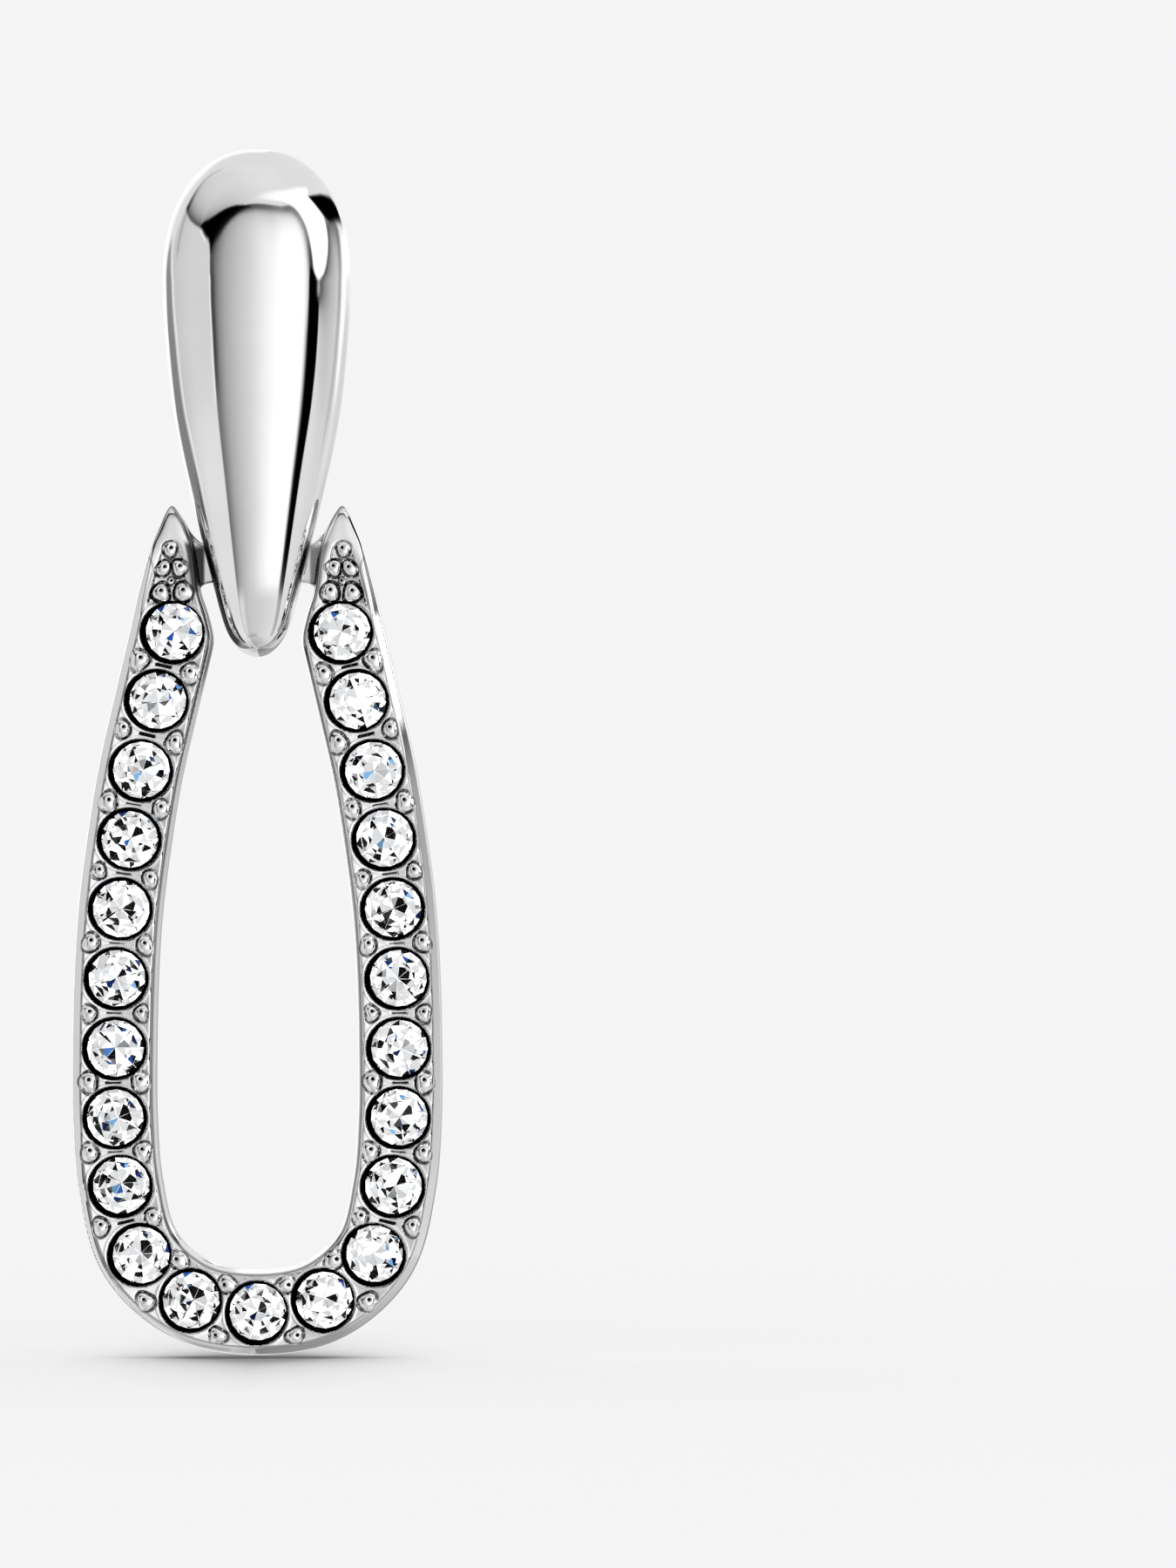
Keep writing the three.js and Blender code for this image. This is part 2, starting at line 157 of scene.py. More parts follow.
def silver(name, tone=0.83, rough=0.03, wave=0.02, cavity=False, grain=900.0):
    """Polished silver-tone plate: faint cloudiness in tone and gloss, and a barely uneven polish; with cavity, painted
    shade, painted dark lines and a painted reflection are laid on from the mesh's attributes.
    """
    m, nt, b = node_material(name)
    L = nt.links.new
    b.inputs["Metallic"].default_value = 1.0
    tex = add(nt, "ShaderNodeTexCoord")
    cloud = add(nt, "ShaderNodeTexNoise")
    cloud.inputs["Scale"].default_value = 420.0
    cloud.inputs["Detail"].default_value = 3.0
    L(tex.outputs["Object"], cloud.inputs["Vector"])
    ramp = add(nt, "ShaderNodeValToRGB")
    ramp.color_ramp.elements[0].position = 0.3
    ramp.color_ramp.elements[0].color = (tone * 0.965, tone * 0.97, tone * 0.98, 1)
    ramp.color_ramp.elements[1].position = 0.7
    ramp.color_ramp.elements[1].color = (tone * 1.02, tone * 1.022, tone * 1.03, 1)
    L(cloud.outputs["Fac"], ramp.inputs["Fac"])
    base = ramp.outputs["Color"]
    fine = add(nt, "ShaderNodeTexNoise")
    fine.inputs["Scale"].default_value = grain
    fine.inputs["Detail"].default_value = 4.0
    L(tex.outputs["Object"], fine.inputs["Vector"])
    rr = add(nt, "ShaderNodeMapRange")
    rr.inputs["From Min"].default_value = 0.3
    rr.inputs["From Max"].default_value = 0.75
    rr.inputs["To Min"].default_value = rough * 0.6
    rr.inputs["To Max"].default_value = rough * 1.5
    L(fine.outputs["Fac"], rr.inputs["Value"])
    roughness = rr.outputs["Result"]
    if cavity:
        def note(key):
            return add(nt, "ShaderNodeAttribute", attribute_name=key).outputs["Fac"]

        def step(value, a, b, top=1.0, under=0.0):
            """Smooth step: under at a, top at b."""
            m = add(nt, "ShaderNodeMapRange", interpolation_type="SMOOTHSTEP")
            m.inputs["From Min"].default_value, m.inputs["From Max"].default_value = min(a, b), max(a, b)
            m.inputs["To Min"].default_value, m.inputs["To Max"].default_value = (under, top) if a < b else (top, under)
            L(value, m.inputs["Value"])
            return m.outputs["Result"]

        def both(how, x, y):
            m = add(nt, "ShaderNodeMath", operation=how)
            for socket, q in zip(m.inputs, (x, y)):
                if isinstance(q, float):
                    socket.default_value = q
                else:
                    L(q, socket)
            return m.outputs["Value"]

        def line(value, at, half, top):
            """A dark line where the distance is at."""
            return step(both("ABSOLUTE", both("SUBTRACT", value, at), 0.0), half, half * 0.35, top)

        marks = step(note("seat"), 1.045, 1.012)                                 # painted shade: a dark ring round each stone, in the gap to its seat
        blot = add(nt, "ShaderNodeTexNoise")
        blot.inputs["Scale"].default_value = 2100.0
        blot.inputs["Detail"].default_value = 1.0
        L(tex.outputs["Object"], blot.inputs["Vector"])
        patchy = step(blot.outputs["Fac"], 0.42, 0.60, 1.25, 0.25)
        marks = both("MAXIMUM", marks, both("MULTIPLY", line(note("bead"), 1.13, 0.19, 0.66), patchy))      # painted shade in the groove round each bead, patchy
        # painted reflection: a dark dot in each bead's small pit
        marks = both("MAXIMUM", marks, step(note("pit"), 1.35, 0.9))
        # painted shade in the slots between the stones
        marks = both("MAXIMUM", marks, step(note("slot"), 1.25, 0.8))
        # painted shade lines along the face's outer and inner edges, left off over the beads
        rims = both("MAXIMUM", line(note("edge_out"), 0.29, 0.05, 0.46), line(note("edge_in"), 0.115, 0.045, 0.62))
        rims = both("MAXIMUM", rims, step(note("edge_in"), 0.34, 0.24, 0.18))    # painted shade: a duller strip inside the stones
        rims = both("MULTIPLY", rims, step(note("bead"), 0.95, 1.1))
        marks = both("MULTIPLY", both("MAXIMUM", marks, rims), note("face"))
        # all painted shade together, the marks on the face and the per-vertex painted shade, mixed towards near-black
        every_painted_mark = both("MAXIMUM", marks, note("painted_shade"))
        dark = add(nt, "ShaderNodeMix", data_type="RGBA")
        dark.inputs["B"].default_value = (0.018, 0.018, 0.02, 1)
        L(every_painted_mark, dark.inputs["Factor"])
        L(base, dark.inputs["A"])
        base = dark.outputs["Result"]
        more = add(nt, "ShaderNodeMath", operation="MULTIPLY_ADD")
        more.inputs[1].default_value = 0.35
        L(every_painted_mark, more.inputs[0])
        L(roughness, more.inputs[2])
        roughness = more.outputs["Value"]
    L(base, b.inputs["Base Color"])
    L(roughness, b.inputs["Roughness"])
    bump = add(nt, "ShaderNodeBump")
    bump.inputs["Strength"].default_value = wave
    bump.inputs["Distance"].default_value = 0.00005
    L(cloud.outputs["Fac"], bump.inputs["Height"])
    L(bump.outputs["Normal"], b.inputs["Normal"])
    return m


def crystal_glass():
    """Clear cut glass, with a trace of cloud in its gloss."""
    m, nt, b = node_material("crystal_glass")
    b.inputs["Transmission Weight"].default_value = 1.0
    b.inputs["IOR"].default_value = 1.56
    b.inputs["Specular Tint"].default_value = (0.15, 0.15, 0.15, 1)
    tex = add(nt, "ShaderNodeTexCoord")
    n = add(nt, "ShaderNodeTexNoise")
    n.inputs["Scale"].default_value = 700.0
    nt.links.new(tex.outputs["Object"], n.inputs["Vector"])
    tint = add(nt, "ShaderNodeValToRGB")
    tint.color_ramp.elements[0].color = (0.975, 0.985, 1.0, 1)
    tint.color_ramp.elements[1].color = (1.0, 1.0, 1.0, 1)
    nt.links.new(n.outputs["Fac"], tint.inputs["Fac"])
    nt.links.new(tint.outputs["Color"], b.inputs["Base Color"])
    r = add(nt, "ShaderNodeMapRange")
    r.inputs["To Min"].default_value = 0.0
    r.inputs["To Max"].default_value = 0.012
    nt.links.new(n.outputs["Fac"], r.inputs["Value"])
    nt.links.new(r.outputs["Result"], b.inputs["Roughness"])
    return m


def crystal_foil():
    """Silvering on the crystal's back, a little uneven."""
    m, nt, b = node_material("crystal_foil")
    L = nt.links.new
    b.inputs["Metallic"].default_value = 1.0
    tex = add(nt, "ShaderNodeTexCoord")
    n = add(nt, "ShaderNodeTexNoise")
    n.inputs["Scale"].default_value = 900.0
    L(tex.outputs["Object"], n.inputs["Vector"])
    ramp = add(nt, "ShaderNodeValToRGB")
    e = ramp.color_ramp.elements
    e[0].position, e[0].color = 0.3, (0.95, 0.955, 0.965, 1)
    e[1].position, e[1].color = 0.7, (0.985, 0.985, 0.985, 1)
    L(n.outputs["Fac"], ramp.inputs["Fac"])
    L(ramp.outputs["Color"], b.inputs["Base Color"])
    r = add(nt, "ShaderNodeMapRange")
    r.inputs["To Min"].default_value = 0.01
    r.inputs["To Max"].default_value = 0.03
    L(n.outputs["Fac"], r.inputs["Value"])
    L(r.outputs["Result"], b.inputs["Roughness"])
    return m


MAT_STUD = silver("polished_silver", tone=0.86, rough=0.02, wave=0.01)
MAT_LOOP = silver("setting_silver", tone=0.86, rough=0.035, wave=0.03, cavity=True)
MAT_POST = silver("post_silver", tone=0.8, rough=0.12, wave=0.05, grain=2500.0)
MAT_GLASS = crystal_glass()
MAT_FOIL = crystal_foil()


# ------------------------------------------------------------------ the stud
def stud_half(z):
    z = np.asarray(z, float)
    u = np.clip((z - STUD["widest"]) / (STUD["top"] - STUD["widest"]), 0, 1)
    cap = STUD["half"] * np.maximum(0, 1 - u ** STUD["cap"]) ** (1 / STUD["cap"])
    rows = np.array(STUD_ROWS)[::-1]
    plain = lambda q: pchip(rows[:, 0], rows[:, 1], np.clip(q, STUD["bottom"], STUD["widest"]))
    low, eased = plain(z), 0.0
    for d, w in ((0.2, 0.18), (0.4, 0.13), (0.6, 0.09)):
        eased = eased + w * (plain(z - d) + plain(z + d))
    low = low + (0.2 * low + eased - low) * smoothstep(-1.3, -2.4, z) * smoothstep(-12.6, -11.6, z)
    t = np.clip((STUD["tip_from"] - z) / (STUD["tip_from"] - STUD["bottom"]), 0, 1)
    low = low * np.maximum(0, 1 - t ** STUD["tip_power"]) ** 0.5
    return np.where(z >= STUD["widest"], cap, low)


def build_stud():
    arcs = 96
    zs = []
    span = STUD["top"] - STUD["widest"]
    zs += [STUD["widest"] + span * math.sin(a) for a in np.linspace(math.pi / 2 - 0.004, 0, 46)]
    zs += list(np.linspace(STUD["widest"], STUD["tip_from"], 70))[1:]
    tip = STUD["tip_from"] - STUD["bottom"]
    zs += [STUD["tip_from"] - tip * math.sin(a) for a in np.linspace(0, math.pi / 2 - 0.004, 34)][1:]
    verts, faces = [], []
    n = arcs + 1 + 4
    for z in zs:
        half = float(stud_half(z))
        depth = half * STUD["depth"]
        c = min(STUD["chamfer"], half * 0.3)
        for i in range(arcs + 1):
            a = math.pi * i / arcs
            ca, sa = math.cos(a), math.sin(a)
            p = 2 / STUD["power"]
            verts.append((half * math.copysign(abs(ca) ** p, ca), -c - (depth - c) * sa ** p, z))
        for k in (0.35, 0.85):
            verts.append((-half + c * (1 - math.cos(k * math.pi / 2)), -c + c * math.sin(k * math.pi / 2), z))
        for k in (0.85, 0.35):
            verts.append((half - c * (1 - math.cos(k * math.pi / 2)), -c + c * math.sin(k * math.pi / 2), z))
    for r in range(len(zs) - 1):
        for i in range(n):
            a, b = r * n + i, r * n + (i + 1) % n
            faces.append((a, b, b + n, a + n))
    top, bot = len(verts), len(verts) + 1
    verts.append((0, -0.02, STUD["top"]))
    verts.append((0, -0.02, STUD["bottom"]))
    last = (len(zs) - 1) * n
    for i in range(n):
        faces.append((top, (i + 1) % n, i))
        faces.append((bot, last + i, last + (i + 1) % n))
    body = make_object("stud_body", verts, faces)
    return body


def turned_x(name, profile, segs):
    """A shape turned about the hinge axis; profile is (x, r) pairs, closed."""
    verts, faces = [], []
    m = len(profile)
    for i in range(segs):
        a = 2 * math.pi * i / segs
        for x, r in profile:
            verts.append((x, HINGE_Y + r * math.cos(a), HINGE_Z + r * math.sin(a)))
    for i in range(segs):
        j = (i + 1) % segs
        for k in range(m):
            l = (k + 1) % m
            faces.append((i * m + k, i * m + l, j * m + l, j * m + k))
    return make_object(name, verts, faces)


def cylinder(name, axis, centre, r, lo, hi, segs):
    verts, faces = [], []
    for t in (lo, hi):
        for i in range(segs):
            a = 2 * math.pi * i / segs
            u, v = r * math.cos(a), r * math.sin(a)
            verts.append({"x": (t, centre[1] + u, centre[2] + v), "y": (centre[0] + u, t, centre[2] + v)}[axis])
    for i in range(segs):
        j = (i + 1) % segs
        faces.append((i, j, segs + j, segs + i))
    faces.append(tuple(reversed(range(segs))))
    faces.append(tuple(range(segs, 2 * segs)))
    return make_object(name, verts, faces, smooth=True)


def fix_normals(ob):
    bm = bmesh.new()
    bm.from_mesh(ob.data)
    bmesh.ops.recalc_face_normals(bm, faces=bm.faces)
    bm.to_mesh(ob.data)
    bm.free()


def boolean(ob, other, how):
    fix_normals(other)
    mod = ob.modifiers.new("b", "BOOLEAN")
    mod.object, mod.operation, mod.solver = other, how, "EXACT"
    apply_modifiers(ob)
    bpy.data.objects.remove(other)


def apply_modifiers(ob):
    dg = bpy.context.evaluated_depsgraph_get()
    me = bpy.data.meshes.new_from_object(ob.evaluated_get(dg))
    ob.modifiers.clear()
    old = ob.data
    ob.data = me
    bpy.data.meshes.remove(old)


def smooth_by_angle(ob, degrees):
    me = ob.data
    me.polygons.foreach_set("use_smooth", np.ones(len(me.polygons), bool))
    me.set_sharp_from_angle(angle=math.radians(degrees))


stud = build_stud()
fix_normals(stud)
R1, R0, HL = 1.14, 0.74, 0.75
eye = turned_x("eye", [(-HL, R0), (-HL, R1 - 0.08), (-HL + 0.025, R1 - 0.025), (-HL + 0.08, R1),
                       (HL - 0.08, R1), (HL - 0.025, R1 - 0.025), (HL, R1 - 0.08), (HL, R0)], 72)
boolean(stud, eye, "UNION")
boolean(stud, cylinder("bore", "x", (0, HINGE_Y, HINGE_Z), R0, -4, 4, 72), "DIFFERENCE")
boolean(stud, cylinder("socket", "y", (0, 0, 0), 0.46, -1.1, 0.6, 48), "DIFFERENCE")
stud.name = "stud_polished"
smooth_by_angle(stud, 28)
stud.data.materials.clear()
stud.data.materials.append(MAT_STUD)


# ------------------------------------------------------------------ the crystal row's curve
def catmull(points, t):
    """Centripetal Catmull-Rom through points; t from 0 to 1 in equal shares per point. Returns point and tangent."""
    pts = np.asarray(points, float)
    n = len(pts)
    p = (n - 1) * t
    i = min(int(math.floor(p)), n - 2)
    w = p - i
    p1, p2 = pts[i], pts[i + 1]
    p0 = pts[i - 1] if i > 0 else 2 * pts[0] - pts[1]
    p3 = pts[i + 2] if i + 2 < n else 2 * pts[-1] - pts[-2]
    d0, d1, d2 = (max(np.hypot(*(b - a)) ** 0.5, 1e-6) for a, b in ((p0, p1), (p1, p2), (p2, p3)))
    t1 = ((p1 - p0) / d0 - (p2 - p0) / (d0 + d1) + (p2 - p1) / d1) * d1
    t2 = ((p2 - p1) / d1 - (p3 - p1) / (d1 + d2) + (p3 - p2) / d2) * d1
    c0, c1 = p1, t1
    c2 = -3 * p1 + 3 * p2 - 2 * t1 - t2
    c3 = 2 * p1 - 2 * p2 + t1 + t2
    pos = c0 + c1 * w + c2 * w * w + c3 * w ** 3
    tan = c1 + 2 * c2 * w + 3 * c3 * w * w
    return pos, tan / np.hypot(*tan)


FULL_ROW = list(ROW) + [(-x, z) for x, z in ROW[:-1]][::-1]
GAPS = len(FULL_ROW) - 1


def row_at(share):
    p, t = catmull(FULL_ROW, share)
    return p, np.array([-t[1], t[0]]), t


# ------------------------------------------------------------------ the loop, as a smooth solid
# Everything seen from the front is kept as maps over X and Z of the right half: distances to the outline's
# edges, the height of the face, and how much painted shade a spot gets.
STEP = 0.02
GX = np.arange(-0.3, 6.3, STEP)
GZ = np.arange(-36.0, -7.7, STEP)
gx, gz = np.meshgrid(GX, GZ, indexing="ij")


COARSE = 3      # distances are worked out on every third cell, with their sign, and interpolated
cx = np.append(GX[::COARSE], GX[::COARSE][-1] + COARSE * STEP)
cz = np.append(GZ[::COARSE], GZ[::COARSE][-1] + COARSE * STEP)
CX, CZ = np.meshgrid(cx, cz, indexing="ij")


def interpolated(d):
    fx = (GX - cx[0]) / (COARSE * STEP)
    fz = (GZ - cz[0]) / (COARSE * STEP)
    i, j = np.minimum(fx.astype(int), len(cx) - 2), np.minimum(fz.astype(int), len(cz) - 2)
    u, v = (fx - i)[:, None], (fz - j)[None, :]
    a = d[np.ix_(i, j)] * (1 - u) + d[np.ix_(i + 1, j)] * u
    b = d[np.ix_(i, j + 1)] * (1 - u) + d[np.ix_(i + 1, j + 1)] * u
    return a * (1 - v) + b * v


def blurred(t, sigma):
    """Gaussian blur of a map, sigma in mm."""
    r = int(math.ceil(3 * sigma / STEP))
    k = np.exp(-0.5 * (np.arange(-r, r + 1) * STEP / sigma) ** 2)
    k /= k.sum()
    for axis in (0, 1):
        pad = [(0, 0), (0, 0)]
        pad[axis] = (r, r)
        wide = np.pad(t, pad, mode="reflect", reflect_type="odd")
        n = t.shape[axis]
        t = sum(w * np.take(wide, np.arange(i, i + n), axis=axis) for i, w in enumerate(k))
    return t


def inside_either(poly):
    _, a = segment_distance(CX, CZ, poly, closed=True)
    _, b = segment_distance(-CX, CZ, poly, closed=True)
    return a | b


def outline():
    """Outer and inner edge of the right half, from the horn's tip to the bottom middle."""
    outer = [(o, z) for z, i, o, f, b in HORN]
    inner = [(i, z) for z, i, o, f, b in HORN]
    steps = 12 * (GAPS // 2)
    for k in range(0, steps + 6):
        p, n, t = row_at(0.5 * k / steps)
        outer.append(tuple(p + BAND["outer"] * n))
        inner.append(tuple(p - BAND["inner"] * n))

    def resample(pts):
        pts = np.array(pts)
        s = np.concatenate([[0], np.cumsum(np.hypot(*np.diff(pts, axis=0).T))])
        q = np.arange(0, s[-1], 0.12)
        return np.stack([pchip(s, pts[:, 0], q), pchip(s, pts[:, 1], q)], 1)
    o, i = resample(outer), resample(inner)
    for a in (o, i):            # even out the join between horn and band
        for _ in range(4):
            a[1:-1] = 0.25 * a[:-2] + 0.5 * a[1:-1] + 0.25 * a[2:]
    return np.vstack([[[2.72, -8.19]], o]), i


outer_line, inner_line = outline()
far_out, _ = segment_distance(CX, CZ, outer_line, closed=False)
far_in, _ = segment_distance(CX, CZ, np.vstack([outer_line[:1], inner_line]), closed=False)
in_band = inside_either(np.vstack([outer_line, inner_line[::-1]]))
beyond = ~in_band & (far_out <= far_in)
keep = smoothstep(-9.1, -8.75, gz)          # the point at the top stays sharp
D_OUT, D_IN = [t + (blurred(t, 0.06) - t) * (1 - keep) for t in
               (interpolated(np.where(beyond, -far_out, far_out)), interpolated(np.where(in_band | beyond, far_in, -far_in)))]

bar = np.array([(x, HINGE_Z + d) for x, d in BAR])
bar_s = np.concatenate([[0], np.cumsum(np.hypot(*np.diff(bar, axis=0).T))])
bar_q = np.arange(0, bar_s[-1], 0.08)
bar_line = np.stack([np.interp(bar_q, bar_s, bar[:, 0]), np.interp(bar_q, bar_s, bar[:, 1])], 1)
for _ in range(5):
    bar_line[1:-1] = 0.25 * bar_line[:-2] + 0.5 * bar_line[1:-1] + 0.25 * bar_line[2:]
db, _ = segment_distance(CX, CZ, bar_line, closed=True)
DB = blurred(interpolated(np.where(inside_either(bar_line), -db, db)), 0.05)


def lookup(table, x, z):
    fx = np.clip((np.abs(x) - GX[0]) / STEP, 0, len(GX) - 1.001)
    fz = np.clip((z - GZ[0]) / STEP, 0, len(GZ) - 1.001)
    i, j = fx.astype(np.int32), fz.astype(np.int32)
    u, v = fx - i, fz - j
    return ((table[i, j] * (1 - u) + table[i + 1, j] * u) * (1 - v)
            + (table[i, j + 1] * (1 - u) + table[i + 1, j + 1] * u) * v)


def smin(a, b, k):
    h = np.clip(0.5 + 0.5 * (b - a) / k, 0, 1)
    return b * (1 - h) + a * h - k * h * (1 - h)


def smax(a, b, k):
    return -smin(-a, -b, k)


horn_rows = np.array(HORN)[::-1]
HORN_Z = horn_rows[0, 0]

# position across the band: -1 at the inner edge, 1 at the outer one
half_w = np.maximum((D_IN + D_OUT) / 2, 0.01)
m_map = (D_IN - D_OUT) / 2
across = np.clip(m_map / half_w, -1.5, 1.5)

# nearest seat, measured a little wider across the row than along it
RHO = np.full(gx.shape, 9.0)
for k in range(GAPS // 2 + 1):
    p, n, t = row_at(k / GAPS)
    for mirror in ((1, -1) if 0 < p[0] < 1.5 or k >= GAPS // 2 - 1 else (1,)):
        if mirror < 0 and p[0] == 0:
            continue
        dx, dz = gx - mirror * p[0], gz - p[1]
        s, m = dx * mirror * t[0] + dz * t[1], dx * mirror * n[0] + dz * n[1]
        RHO = np.minimum(RHO, np.hypot(s / SEAT_ALONG, m / SEAT_ACROSS) * SEAT_ALONG)

# the face: dished, so that it slopes in towards the stones; crowned on the horns' polished tips
tip = smoothstep(-10.3, -8.9, gz)
def dish(m):
    """How far the face stands up towards its edges, mm."""
    return 0.15 * np.minimum(np.abs(m), 0.6) ** 2 + 0.20 * np.clip(np.abs(m) - 0.6, 0, 0.75)


crown = -dish(m_map) * (1 - 0.6 * tip)
crown = crown + tip * 0.13 * np.abs(across) ** 4
front_map = np.where(gz > HORN_Z - 0.001, pchip(horn_rows[:, 0], horn_rows[:, 3], np.clip(gz, HORN_Z, horn_rows[-1, 0])), 0.0)
H = BAND["front"] + front_map * (gz > horn_rows[0, 0]) + crown
DARK = np.zeros(gx.shape)

# the field between the horns' beads is sunk, and darkened with painted shade
field = smoothstep(0.30, 0.16, np.abs(m_map) - (half_w - 0.62)) * smoothstep(-11.45, -11.25, gz) * smoothstep(-9.35, -9.6, gz)
H = H + 0.10 * field
DARK = np.maximum(DARK, 0.22 * field)

# bright lips round the seats
lip = np.exp(-((RHO - 1.075) / 0.04) ** 2)
H = H - 0.024 * lip * (1 - field)

BEAD_Q = np.full(gx.shape, 3.0)     # nearest bead: 1 at its foot
PIT_Q = np.full(gx.shape, 3.0)      # nearest bead's small pit: 1 at its rim
SLOT_Q = np.full(gx.shape, 3.0)     # nearest slot between two stones: 1 at its rim
uneven = np.random.default_rng(7)
beads = []          # x, z, along direction, half length, half width, height
for k in range(GAPS // 2):
    p, n, t = row_at((k + 0.5) / GAPS)
    for side in (-1, 1):
        q = p + (side * BEAD_N + uneven.uniform(-0.03, 0.03)) * n + uneven.uniform(-0.05, 0.05) * t
        grow = uneven.uniform(0.84, 1.14)
        beads.append((q[0], q[1], t, n * side, 0.30 * grow, 0.25 * grow, 0.17, BAND["front"] + 0.02 - 0.8 * dish(BEAD_N), 1.0))
for x, z, r in HORN_BEADS:
    drop_in = 0.13 * smoothstep(-10.4, -9.5, z)
    turn = uneven.uniform(-0.6, 0.6)
    along = np.array([math.sin(turn), -math.cos(turn)])
    beads.append((x + uneven.uniform(-0.03, 0.03), z + uneven.uniform(-0.03, 0.03), along, np.array([-along[1], along[0]]),
                  r * uneven.uniform(1.02, 1.3), r * uneven.uniform(0.9, 1.02), r * 0.62, BAND["front"] + 0.03 + drop_in, 0.0))
for bx, bz, t, n, la, lb, hb, base, arm in beads:
    dx, dz = gx - bx, gz - bz
    near = (np.abs(dx) < 0.8) & (np.abs(dz) < 0.8)
    X, Z = dx[near], dz[near]
    s, m = X * t[0] + Z * t[1], X * n[0] + Z * n[1]
    size = lb / 0.25
    h, dk = H[near], DARK[near]
    round_ = np.arctan2(m, s)
    q = np.sqrt((s / la) ** 2 + (m / lb) ** 2)
    q = q * (1 + uneven.uniform(0.03, 0.10) * np.sin(3 * round_ + uneven.uniform(0, 6.3)) + uneven.uniform(0, 0.07) * np.sin(2 * round_ + uneven.uniform(0, 6.3)))
    BEAD_Q[near] = np.minimum(BEAD_Q[near], q)
    groove = np.exp(-((q - 1.12) / 0.11) ** 2)
    h = h + 0.055 * groove * size
    if arm:
        # neck from the bead to the band's edge
        e = np.hypot((s + 0.17) / 0.13, (m - 0.24) / 0.17)
        h = np.minimum(h, base - 0.10 * np.sqrt(np.clip(1 - e ** 2, 0, 1)) + 0.3 * (e > 1))
    dome = base - hb * np.clip(1 - q ** 2, 0, 1) ** 0.55
    inside = q < 1
    h = np.where(inside, np.minimum(h, dome), h)
    dk = np.where(inside, dk * smoothstep(0.86, 1.0, q), dk)
    pit = np.hypot(s + 0.30 * la, m + 0.05 * lb)
    pr = 0.056 * (0.75 + 0.25 * size)
    PIT_Q[near] = np.minimum(PIT_Q[near], pit / pr)
    h = h + 0.10 * np.exp(-(pit / pr) ** 2) * inside
    H[near], DARK[near] = h, dk
# fine slots in some of the webs
for k in range(GAPS // 2):
    p, n, t = row_at((k + 0.5) / GAPS)
    s = (gx - p[0]) * t[0] + (gz - p[1]) * t[1]
    m = (gx - p[0]) * n[0] + (gz - p[1]) * n[1]
    deep = (1.0, 0.9, 0.25, 0.35, 0.2, 0.3, 0.5, 0.3, 0.8, 0.0, 0.0)[k]
    if deep:
        far = np.hypot(s + 0.02, np.maximum(np.abs(m - 0.04) - 0.22, 0) * 0.8)
        H = H + 0.09 * deep * smoothstep(0.055, 0.02, far)
        SLOT_Q = np.minimum(SLOT_Q, far / (0.018 + 0.022 * deep))
H = np.minimum(H, BAND["front"] + 1.2)


def solid(x, y, z):
    """Signed distance, about, to the loop's surface."""
    d_out, d_in = lookup(D_OUT, x, z), lookup(D_IN, x, z)
    hgt = lookup(H, x, z)
    zz = np.clip(z, HORN_Z, horn_rows[-1, 0])
    horn = z > HORN_Z
    front = BAND["front"] + np.where(horn, pchip(horn_rows[:, 0], horn_rows[:, 3], zz), 0)
    back = BAND["back"] - np.where(horn, pchip(horn_rows[:, 0], horn_rows[:, 4], zz), 0)
    # a bevel runs along each edge of the face, and the walls below it lean in a little
    part = np.clip((d_out + d_in) / 2.4, 0.05, 1.0)
    depth = y - front
    lean = np.clip((0.50 - depth) / 0.5, 0, 1.3) * 0.06
    # it is a little steeper on the right arm, and flatter round the lower left
    right = smoothstep(-1.0, 1.0, x)
    deep = BEVEL[1] + (0.05 + 0.07 * smoothstep(-13.5, -17.5, z)) * right - 0.12 * (1 - right) * smoothstep(-26.0, -30.0, z)
    d2 = np.maximum(-d_out + part * (lean + BEVEL[0] * np.clip((deep - depth) / (deep + 0.14), 0, 1.3)),
                    -d_in + part * (lean + BEVEL[2] * np.clip((BEVEL[3] - depth) / (BEVEL[3] + 0.14), 0, 1.3)))
    yc, hd = (front + back) / 2, (back - front) / 2
    r = np.minimum(0.36, 0.9 * hd)
    q0, q1 = d2 + r, y - back + r
    body = np.minimum(np.maximum(q0, q1), 0) + np.hypot(np.maximum(q0, 0), np.maximum(q1, 0)) - r
    body = smax(body, (hgt - y) * 0.75, 0.075)
    # crossbar and its flared ends
    db = lookup(DB, x, z)
    rb = 0.14
    q0, q1 = db + rb, np.abs(y - HINGE_Y) - 0.31 + rb
    cross = np.minimum(np.maximum(q0, q1), 0) + np.hypot(np.maximum(q0, 0), np.maximum(q1, 0)) - rb
    body = smin(body, cross, 0.10)
    return smax(body, -seat_cut(x, y, z), 0.02)


def seat_cut(x, y, z):
    rho = lookup(RHO, x, z)
    y1 = BAND["front"] + SEAT_DEPTH
    cone = (rho - SEAT_ALONG) * 0.75 + (y - y1) * 0.66
    return np.maximum(np.maximum(rho - SEAT_ALONG, cone), y - (y1 + 0.74))


